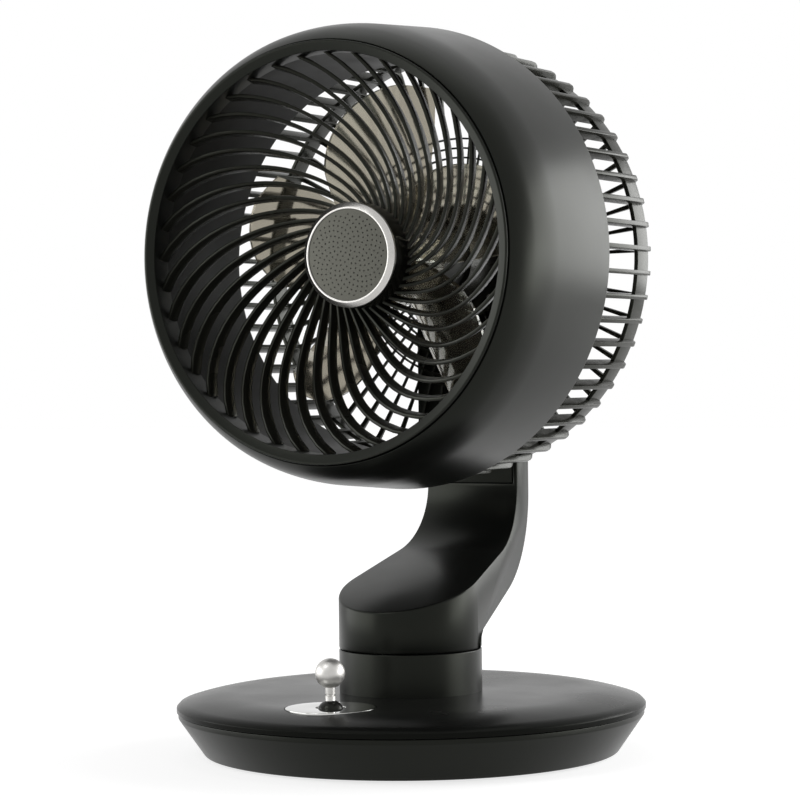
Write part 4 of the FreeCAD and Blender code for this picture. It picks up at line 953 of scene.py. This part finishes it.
@dataclass
class Drum:
    """Double-walled drum with its curved outer wall, in millimetres and degrees."""

    rear: float = -4.5
    rear_round: float = 0.8
    shoulder: float = -44.7
    shoulder_radius: float = 95.2
    side_angle: float = 4.36
    flank_bend: float = 72.0
    flank_angle: float = 16.3
    flank_steps: int = 10
    nose_bend: float = 24.5
    nose_angle: float = 46.0
    nose_steps: int = 14
    front_round: float = 0.25
    wall: float = 2.4
    duct_radius: float = 82.0
    duct_wall: float = 2.0
    duct_front: float = -60.0
    duct_round: float = 0.5

    def outline(self) -> list[Corner]:
        """Outer wall as two arcs that run into each other.

        Returns:
            Corners from the front edge to the shoulder, which isn't among them.
        """
        corners: list[Corner] = []
        along, radius = self.shoulder, self.shoulder_radius
        angle = math.radians(self.side_angle)
        arcs = ((self.flank_bend, self.flank_angle, self.flank_steps),
                (self.nose_bend, self.nose_angle, self.nose_steps))
        for bend, end, steps in arcs:
            start = angle
            for step in range(1, steps + 1):
                angle = start + (math.radians(end) - start) * step / steps
                corners.append((along - bend * (math.sin(angle) - math.sin(start)),
                                radius - bend * (math.cos(start) - math.cos(angle))))
            along, radius = corners[-1]
        return corners[::-1]

    def build(self) -> None:
        """Build the outer wall and the duct inside it, the duct in a darker colour than the drum that is
        painted shade.
        """
        (front, front_radius), *outer = self.outline()
        wall, inside = self.wall, self.rear - self.wall
        side_slope = math.tan(math.radians(self.side_angle))
        rear_radius = self.shoulder_radius + (self.rear - self.shoulder) * side_slope
        duct_outer = self.duct_radius + self.duct_wall
        drum = turned([
            (front, front_radius, self.front_round), *outer, (self.shoulder, self.shoulder_radius),
            (self.rear, rear_radius, self.rear_round), (self.rear, duct_outer), (inside, duct_outer),
            (inside, rear_radius - wall), (self.shoulder, self.shoulder_radius - wall),
            (front + wall, front_radius)], Turn.FAN, steps=Sides.DRUM)
        settle(drum, "drum_wall", CHARCOAL, Body.HEAD, ["drum_shroud"])
        duct = turned([
            (self.rear, self.duct_radius, self.duct_round), (self.duct_front, self.duct_radius),
            (self.duct_front, duct_outer), (self.rear, duct_outer)], Turn.FAN, steps=Sides.DRUM)
        # The duct's darker finish is painted shade inside the drum.
        settle(duct, "air_duct", DUCT_PAINTED_SHADE, Body.HEAD)


@dataclass
class FrontGrille:
    """Bezel, spiral fins and hub of the front grille, in millimetres and degrees."""

    fins: int = 40
    fin_leads: tuple[float, ...] = (41.8, 33.9, 57.5)
    fin_fronts: tuple[float, ...] = (-36.3, -41.3, -54.8, -65.5)
    fin_clock: float = 6.3
    fin_thickness: float = 1.5
    fin_lean: float = 12.0
    fin_round: float = 0.4
    fin_sharp: float = 60.0
    fin_steps: int = 26
    fin_inner: float = 20.9
    fin_outer: float = 82.4
    fin_hub_depth: float = 4.5
    fin_rim_depth: float = 5.5
    hub_radius: float = 21.8
    hub_face: float = -46.0
    hub_round: float = 0.3
    cup_depth: float = 13.0
    cup_wall: float = 1.8
    bezel_front: float = -71.2
    bezel_rear: float = -60.0
    bezel_inner: float = 81.5
    bezel_outer: float = 85.72
    bezel_slope: float = 1.2
    bezel_lip: float = 0.9
    bezel_inner_round: float = 0.4
    bezel_lip_round: float = 0.3
    ring_inner: float = 18.9
    ring_height: float = 2.5
    ring_lip: float = 0.8
    ring_inner_round: float = 0.3
    ring_lip_round: float = 0.35
    ring_foot: float = 1.0
    ring_foot_round: float = 0.4
    plate_radius: float = 18.85
    plate_lift: float = 2.0
    plate_thickness: float = 0.9
    plate_margin: float = 1.6
    hole_count: int = 210
    hole_radius: float = 0.33

    def fin_edges(self) -> list[tuple[Vector, Vector]]:
        """Front and rear edge of one side of a fin, from the hub to the bezel.

        Returns:
            Pairs of points in metres, with the fan's axis through the origin.
        """
        edges: list[tuple[Vector, Vector]] = []
        growth = math.log(self.fin_outer / self.fin_inner)
        half = self.fin_thickness / 2.0
        angle = math.radians(self.fin_clock)
        for step in range(self.fin_steps + 1):
            along = step / self.fin_steps
            radius = self.fin_inner * math.exp(growth * along)
            if step:
                lead = math.radians(through(self.fin_leads, along - 0.5 / self.fin_steps))
                angle += math.tan(lead) * growth / self.fin_steps
            heading = angle + math.radians(through(self.fin_leads, along))
            reach = min(max(radius, self.hub_radius), self.bezel_inner)
            share = (reach - self.hub_radius) / (self.bezel_inner - self.hub_radius)
            depth = self.fin_hub_depth + (self.fin_rim_depth - self.fin_hub_depth) * share
            lean = depth * math.tan(math.radians(self.fin_lean))
            aside = Vector((-math.sin(heading), 0.0, math.cos(heading))) * lean
            across = radius * math.cos(angle) + half * math.sin(heading)
            up = radius * math.sin(angle) - half * math.cos(heading)
            front = Vector((across, through(self.fin_fronts, share), up))
            edges.append((front * MM, (front + aside + Vector((0.0, depth, 0.0))) * MM))
        return edges

    def build_fins(self) -> Mesh:
        """Fins: one is extruded along its spiral, thickened, softened and repeated.

        Returns:
            Mesh of all fins.
        """
        first, *others = self.fin_edges()
        bm = bmesh.new()
        edge = bm.edges.new([bm.verts.new(spot) for spot in first])
        for spots in others:
            grown = bmesh.ops.extrude_edge_only(bm, edges=[edge])["geom"]
            edge = next(item for item in grown if isinstance(item, bmesh.types.BMEdge))
            for vert, spot in zip(sorted(edge.verts, key=lambda end: end.co.y), spots):
                vert.co = spot
        bmesh.ops.recalc_face_normals(bm, faces=bm.faces)
        heading = math.radians(self.fin_clock + self.fin_leads[0])
        if bm.faces[:][0].normal.dot(Vector((-math.sin(heading), 0.0, math.cos(heading)))) < 0.0:
            bmesh.ops.reverse_faces(bm, faces=bm.faces)
        bmesh.ops.solidify(bm, geom=bm.faces[:], thickness=-self.fin_thickness * MM)
        bmesh.ops.recalc_face_normals(bm, faces=bm.faces)
        softened(bm, self.fin_round, self.fin_sharp)
        return repeated(bm, self.fins)

    def build_bezel(self) -> None:
        """Rim of the grille, which slopes in towards the fins."""
        bezel = turned([
            (self.bezel_front + self.bezel_slope, self.bezel_inner, self.bezel_inner_round),
            (self.bezel_front, self.bezel_outer - self.bezel_lip, self.bezel_lip_round),
            (self.bezel_front, self.bezel_outer, self.bezel_lip_round), (self.bezel_rear, self.bezel_outer),
            (self.bezel_rear, self.bezel_inner)], Turn.FAN, steps=Sides.DRUM)
        settle(bezel, "grille_bezel", CHARCOAL, Body.HEAD)

    def build_cup(self) -> Mesh:
        """Hub cup that the fins grow from.

        Returns:
            Mesh of the cup, open at the back.
        """
        rear, floor = self.hub_face + self.cup_depth, self.hub_face + self.cup_wall
        inner = self.hub_radius - self.cup_wall
        return turned([
            (self.hub_face, 0.0), (self.hub_face, self.hub_radius, self.hub_round),
            (rear, self.hub_radius, self.hub_round), (rear, inner), (floor, inner), (floor, 0.0)],
            Turn.FAN, closed=False, steps=Sides.CUP)

    def build_ring(self) -> None:
        """Bright ring on the face of the hub."""
        top = self.hub_face - self.ring_height
        ring = turned([
            (self.hub_face, self.ring_inner), (top, self.ring_inner, self.ring_inner_round),
            (top, self.ring_inner + self.ring_lip, self.ring_lip_round),
            (self.hub_face - self.ring_foot, self.hub_radius, self.ring_foot_round),
            (self.hub_face, self.hub_radius)], Turn.FAN, steps=Sides.DISC)
        settle(ring, "bright_hub_ring", CHROME, Body.HEAD, ["hub_ring"])

    def build_plate(self) -> None:
        """Hub plate with small holes set out on a sunflower spiral."""
        bm = bmesh.new()
        face = Matrix.Rotation(QUARTER_TURN, 4, "X")
        bmesh.ops.create_circle(bm, cap_ends=False, segments=Sides.CUP, radius=self.plate_radius * MM,
                                matrix=face)
        for index in range(self.hole_count):
            share, angle = math.sqrt((index + 0.5) / self.hole_count), index * GOLDEN_ANGLE
            reach = (self.plate_radius - self.plate_margin) * share * MM
            spot = Matrix.Translation((reach * math.cos(angle), 0.0, reach * math.sin(angle)))
            bmesh.ops.create_circle(bm, cap_ends=False, segments=Sides.HOLE, radius=self.hole_radius * MM,
                                    matrix=spot @ face)
        bmesh.ops.triangle_fill(bm, edges=bm.edges[:], use_beauty=True, use_dissolve=False)
        thickened(bm, Vector((0.0, self.plate_thickness * MM, 0.0)))
        bmesh.ops.recalc_face_normals(bm, faces=bm.faces)
        front = Vector((0.0, (self.hub_face - self.plate_lift) * MM, 0.0))
        bmesh.ops.translate(bm, verts=bm.verts, vec=HEAD_AXIS + front)
        settle(bm, "pierced_hub_plate", HUB_METAL, Body.HEAD, ["hub_plate"])

    def build(self) -> None:
        """Build the grille, its bezel, the bright ring and the plate."""
        grille = joined(self.build_cup(), self.build_fins())
        settle(grille, "spiral_grille", GRILLE_DARK, Body.HEAD, ["front_grille"])
        self.build_bezel()
        self.build_ring()
        self.build_plate()


@dataclass
class RearGrille:
    """Cage of bent ribs and thin rings behind the impeller, in millimetres and degrees."""

    ribs: int = 57
    rib_thickness: float = 2.0
    rib_tip: float = 0.9
    rib_tip_depth: float = 1.3
    rib_overlap: float = 1.0
    rib_round: float = 0.3
    rib_sharp: float = 60.0
    taper_radius: float = 61.0
    cage_radius: float = 94.6
    back: float = 48.5
    back_thickness: float = 2.5
    bend: float = 6.0
    bar_height: float = 5.0
    front: float = -3.3
    flange_front: float = -4.5
    flange_rear: float = -2.1
    flange_inner: float = 84.5
    flange_outer: float = 97.0
    flange_round: float = 0.4
    plate_radius: float = 26.0
    plate_lift: float = 0.6
    plate_round: float = 0.5
    cup_depth: float = 23.0
    cup_inner: float = 17.05
    cup_outer: float = 19.45
    hoop_inner: float = 90.2
    hoop_outer: float = 92.0
    hoop_front: float = 36.1
    hoop_rear: float = 46.9
    hoop_round: float = 0.4
    rings: int = 7
    ring_pitch: float = 4.2
    ring_width: float = 0.8
    ring_depth: float = 1.2
    ring_recess: float = 0.5
    ring_set: float = 0.2
    ring_round: float = 0.2

    def build_ribs(self) -> Mesh:
        """Ribs: one is extruded from its outline, thinned towards the middle, softened and repeated.

        Returns:
            Mesh of all ribs.
        """
        bar, end = self.cage_radius - self.bar_height, self.plate_radius - self.rib_overlap
        taper = self.taper_radius
        inside, tip_inside = self.back - self.back_thickness, self.back - self.rib_tip_depth
        outline = [
            (self.front, bar), (self.front, self.cage_radius), (self.back, self.cage_radius, self.bend),
            (self.back, taper), (self.back, end), (tip_inside, end), (tip_inside, taper),
            (inside, bar, self.bend - self.back_thickness)]
        bm = bmesh.new()
        half = self.rib_thickness / 2.0
        bm.faces.new([bm.verts.new(Vector((-half, along, radius)) * MM)
                      for along, radius in rounded_path(outline, True)])
        thickened(bm, Vector((self.rib_thickness * MM, 0.0, 0.0)))
        thin = [vert for vert in bm.verts if vert.co.z < taper * MM + MERGE]
        bmesh.ops.scale(bm, verts=thin, vec=(self.rib_tip / self.rib_thickness, 1.0, 1.0))
        bmesh.ops.recalc_face_normals(bm, faces=bm.faces)
        softened(bm, self.rib_round, self.rib_sharp)
        return repeated(bm, self.ribs)

    def build_flange(self) -> Mesh:
        """Flat ring that fastens the cage to the drum.

        Returns:
            Mesh of the ring.
        """
        return turned([
            (self.flange_front, self.flange_inner), (self.flange_rear, self.flange_inner, self.flange_round),
            (self.flange_rear, self.flange_outer, self.flange_round), (self.flange_front, self.flange_outer)],
            Turn.FAN, steps=Sides.DRUM)

    def build_hoop(self) -> Mesh:
        """Wide hoop inside the bend of the ribs.

        Returns:
            Mesh of the hoop.
        """
        front, rear, inner, outer = self.hoop_front, self.hoop_rear, self.hoop_inner, self.hoop_outer
        around = ((front, inner), (rear, inner), (rear, outer), (front, outer))
        return turned([(*corner, self.hoop_round) for corner in around], Turn.FAN)

    def build_cup(self) -> Mesh:
        """Middle plate with the cup that holds the motor.

        Returns:
            Mesh of both.
        """
        inside, rear = self.back - self.back_thickness, self.back + self.plate_lift
        cup_front = inside - self.cup_depth
        return turned([
            (inside, 0.0), (inside, self.cup_inner), (cup_front, self.cup_inner), (cup_front, self.cup_outer),
            (inside, self.cup_outer), (inside, self.plate_radius),
            (rear, self.plate_radius, self.plate_round), (rear, 0.0)],
            Turn.FAN, closed=False, steps=Sides.CUP)

    def build_ring(self, index: int) -> Mesh:
        """Thin ring across the ribs.

        Args:
            index: Place of the ring, counted from the plate.

        Returns:
            Mesh of the ring, with two sides to each rib's pitch.
        """
        outer = self.plate_radius + self.ring_pitch * (index + 1) - self.ring_set
        inner, rear = outer - self.ring_width, self.back - self.ring_recess
        front = rear - self.ring_depth
        return turned([(front, inner), (rear, inner, self.ring_round), (rear, outer, self.ring_round),
                       (front, outer)], Turn.FAN, steps=2 * self.ribs)

    def build(self) -> None:
        """Build the cage."""
        rings = [self.build_ring(index) for index in range(self.rings)]
        cage = joined(self.build_flange(), self.build_hoop(), self.build_cup(), self.build_ribs(), *rings)
        settle(cage, "rear_cage", GRILLE_DARK, Body.HEAD, ["rear_grille"])


CARRIED: dict[str, Finish] = {
    "ballast_plate": IRON, "control_board": LAMINATE, "usb_inlet": PLATED, "selector_switch": BLACK,
    "lever_socket": BLACK, "swivel_bush": NATURAL, "swivel_washer": NATURAL, "base_screws": PLATED,
    "lever_cross_pin": PLATED, "swivel_spindle": PLATED, "spindle_nut": PLATED, "tilt_pin": PLATED,
    "tilt_pin_caps": CHARCOAL, "tilt_washers": NATURAL, "tilt_bracket": CHARCOAL, "bracket_screws": PLATED,
    "shroud_screws": PLATED, "motor_screws": PLATED, "motor_can": BLACK, "motor_end_cap": BLACK,
    "motor_stator": IRON, "front_bearing": BRONZE, "rear_bearing": BRONZE, "impeller": SMOKE,
    "motor_shaft": PLATED, "motor_rotor": IRON, "impeller_nut": PLATED,
}


def dress_carried() -> None:
    """Give the CAD nodes that stay their finishes."""
    for node, finish in CARRIED.items():
        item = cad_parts[node]
        if not item.material_slots:
            item.data.materials.append(finish.material())
        for slot in item.material_slots:
            slot.material = finish.material()
        LOG.info("%s: dressed as %s", node, finish.name)


def swung(first: Vector, second: Vector, angle: float) -> tuple[Vector, Vector]:
    """Swing two axes in their plane, the first towards the second, by an angle in radians."""
    cosine, sine = math.cos(angle), math.sin(angle)
    return first * cosine + second * sine, second * cosine - first * sine


@dataclass(frozen=True)
class Softbox:
    """Rectangular soft light: its place, width and height in metres, and its power in watts."""

    name: str
    place: Triple
    size: Pair
    power: float

    def build(self, aim: Vector) -> None:
        """Set the light up.

        Args:
            aim: Point that it faces.
        """
        data = bpy.data.lights.new(self.name, "AREA")
        data.shape = "RECTANGLE"
        data.size, data.size_y = self.size
        data.energy = self.power
        light = bpy.data.objects.new(self.name, data)
        place = Vector(self.place)
        turn = (place - aim).to_track_quat("Z", "Y").to_matrix().to_4x4()
        light.matrix_world = Matrix.Translation(place) @ turn
        bpy.context.scene.collection.objects.link(light)


@dataclass
class Studio:
    """Camera, pale floor and soft light, in metres and degrees."""

    distance: float = 1.09952
    height: float = 0.15957
    azimuth: float = 29.7385
    pitch: float = -0.4815
    yaw: float = -0.1686
    roll: float = -0.6903
    focal_pixels: float = 2573.17
    frame_pixels: float = 800.0
    sensor: float = 36.0
    clip_start: float = 0.05
    surround: Pair = (0.5, 0.02)
    surround_span: Pair = (-0.1, 0.7)
    overhead: Pair = (1.0, 0.35)
    overhead_span: Pair = (0.2, 0.7)
    floor_half: float = 6.0
    floor_grey: Triple = (0.5, 0.5, 0.5)
    floor_roughness: float = 0.9
    floor_bounce: float = 0.17
    # Seen glow is lower near the fan than far off: painted shade round the base, on top of the real shadow.
    floor_glow_and_painted_shade: Pair = (0.76, 0.95)
    painted_shade_span: Pair = (0.12, 0.9)
    aim: Triple = (0.0, 0.0, 0.16)
    softboxes: tuple[Softbox, ...] = (
        Softbox("side_right", (0.64, 0.70, 0.36), (0.9, 0.5), 7.5),
        Softbox("strip_right", (0.905, 0.29, 0.15), (0.5, 0.3), 2.4),
        Softbox("side_left", (-0.826, -0.47, 0.22), (1.05, 0.5), 5.0),
        Softbox("key", (-0.29, -0.69, 0.95), (0.4, 0.4), 2.0),
        Softbox("top", (0.0, 0.2, 1.4), (1.2, 0.8), 2.0),
    )

    def towards_camera(self) -> Triple:
        """Level direction from the fan to the camera."""
        azimuth = math.radians(self.azimuth)
        return (math.sin(azimuth), -math.cos(azimuth), 0.0)

    def build_camera(self) -> None:
        """Camera at the viewing angle, turned a little in each sense."""
        across, back, level = self.towards_camera()
        ahead, right = Vector((-across, -back, level)), Vector((-back, across, level))
        up = Vector(Turn.UPRIGHT.value)
        ahead, right = swung(ahead, right, math.radians(self.yaw))
        ahead, up = swung(ahead, up, math.radians(self.pitch))
        right, up = swung(right, up, math.radians(self.roll))
        data = bpy.data.cameras.new("camera")
        data.sensor_width = self.sensor
        data.sensor_fit = "HORIZONTAL"
        data.lens = self.focal_pixels * self.sensor / self.frame_pixels
        data.clip_start = self.clip_start
        camera = bpy.data.objects.new("camera", data)
        place = Vector((across * self.distance, back * self.distance, self.height))
        camera.matrix_world = Matrix.Translation(place) @ Matrix((right, up, -ahead)).transposed().to_4x4()
        bpy.context.scene.collection.objects.link(camera)
        bpy.context.scene.camera = camera

    def build_world(self) -> None:
        """White surround; the light that it sheds on the fan fades overhead and on the camera's side."""
        world = bpy.data.worlds.new("studio")
        world.use_nodes = True
        wiring = Wiring(world.node_tree)
        background = world.node_tree.nodes["Background"].inputs
        background["Color"].default_value = opaque(WHITE)
        heading = wiring.add("TexCoord").outputs["Generated"]
        front = wiring.reach(heading, self.towards_camera())
        height = wiring.reach(heading, Turn.UPRIGHT.value)
        level = wiring.combined("MULTIPLY", wiring.faded(front, self.surround_span, self.surround),
                                wiring.faded(height, self.overhead_span, self.overhead))
        strength = wiring.lit_or_seen()
        wiring.link(level, strength.inputs["A"])
        strength.inputs["B"].default_value = 1.0
        wiring.link(strength.outputs["Result"], background["Strength"])
        bpy.context.scene.world = world

    def floor_material(self) -> Material:
        """Matt grey that glows pale where it is seen, with less glow near the fan: painted shade round the
        base on top of its real shadow.

        Returns:
            The floor's material.
        """
        material, wiring, shader = start_material("pale_floor")
        sockets = shader.inputs
        sockets["Base Color"].default_value = opaque(self.floor_grey)
        sockets["Roughness"].default_value = self.floor_roughness
        sockets["Specular IOR Level"].default_value = 0.0
        sockets["Emission Color"].default_value = opaque(WHITE)
        away = wiring.add("VectorMath", operation="LENGTH")
        wiring.link(wiring.add("TexCoord").outputs["Object"], away.inputs[0])
        glow = wiring.lit_or_seen()
        glow.inputs["A"].default_value = self.floor_bounce
        # Less glow near the fan: painted shade round the base, added to the real shadow of the lights.
        wiring.link(wiring.faded(away.outputs["Value"], self.painted_shade_span, self.floor_glow_and_painted_shade), glow.inputs["B"])
        wiring.link(glow.outputs["Result"], sockets["Emission Strength"])
        return material

    def build_floor(self) -> None:
        """Pale floor that keeps the fan's shadow, darkened further near the base by painted shade."""
        bm = bmesh.new()
        bmesh.ops.create_grid(bm, x_segments=1, y_segments=1, size=self.floor_half)
        floor = as_object(bm, "floor")
        floor.data.materials.append(self.floor_material())

    def build(self) -> None:
        """Build the whole studio."""
        bpy.context.scene.view_settings.view_transform = "Standard"
        self.build_camera()
        self.build_world()
        self.build_floor()
        for softbox in self.softboxes:
            softbox.build(Vector(self.aim))


def main() -> None:
    """Build every part of the picture in order."""
    logging.basicConfig(level=logging.INFO)
    for assembly in (Base(), Lever(), Neck(), Drum(), FrontGrille(), RearGrille()):
        assembly.build()
    dress_carried()
    Studio().build()


if __name__ == "__main__":
    main()
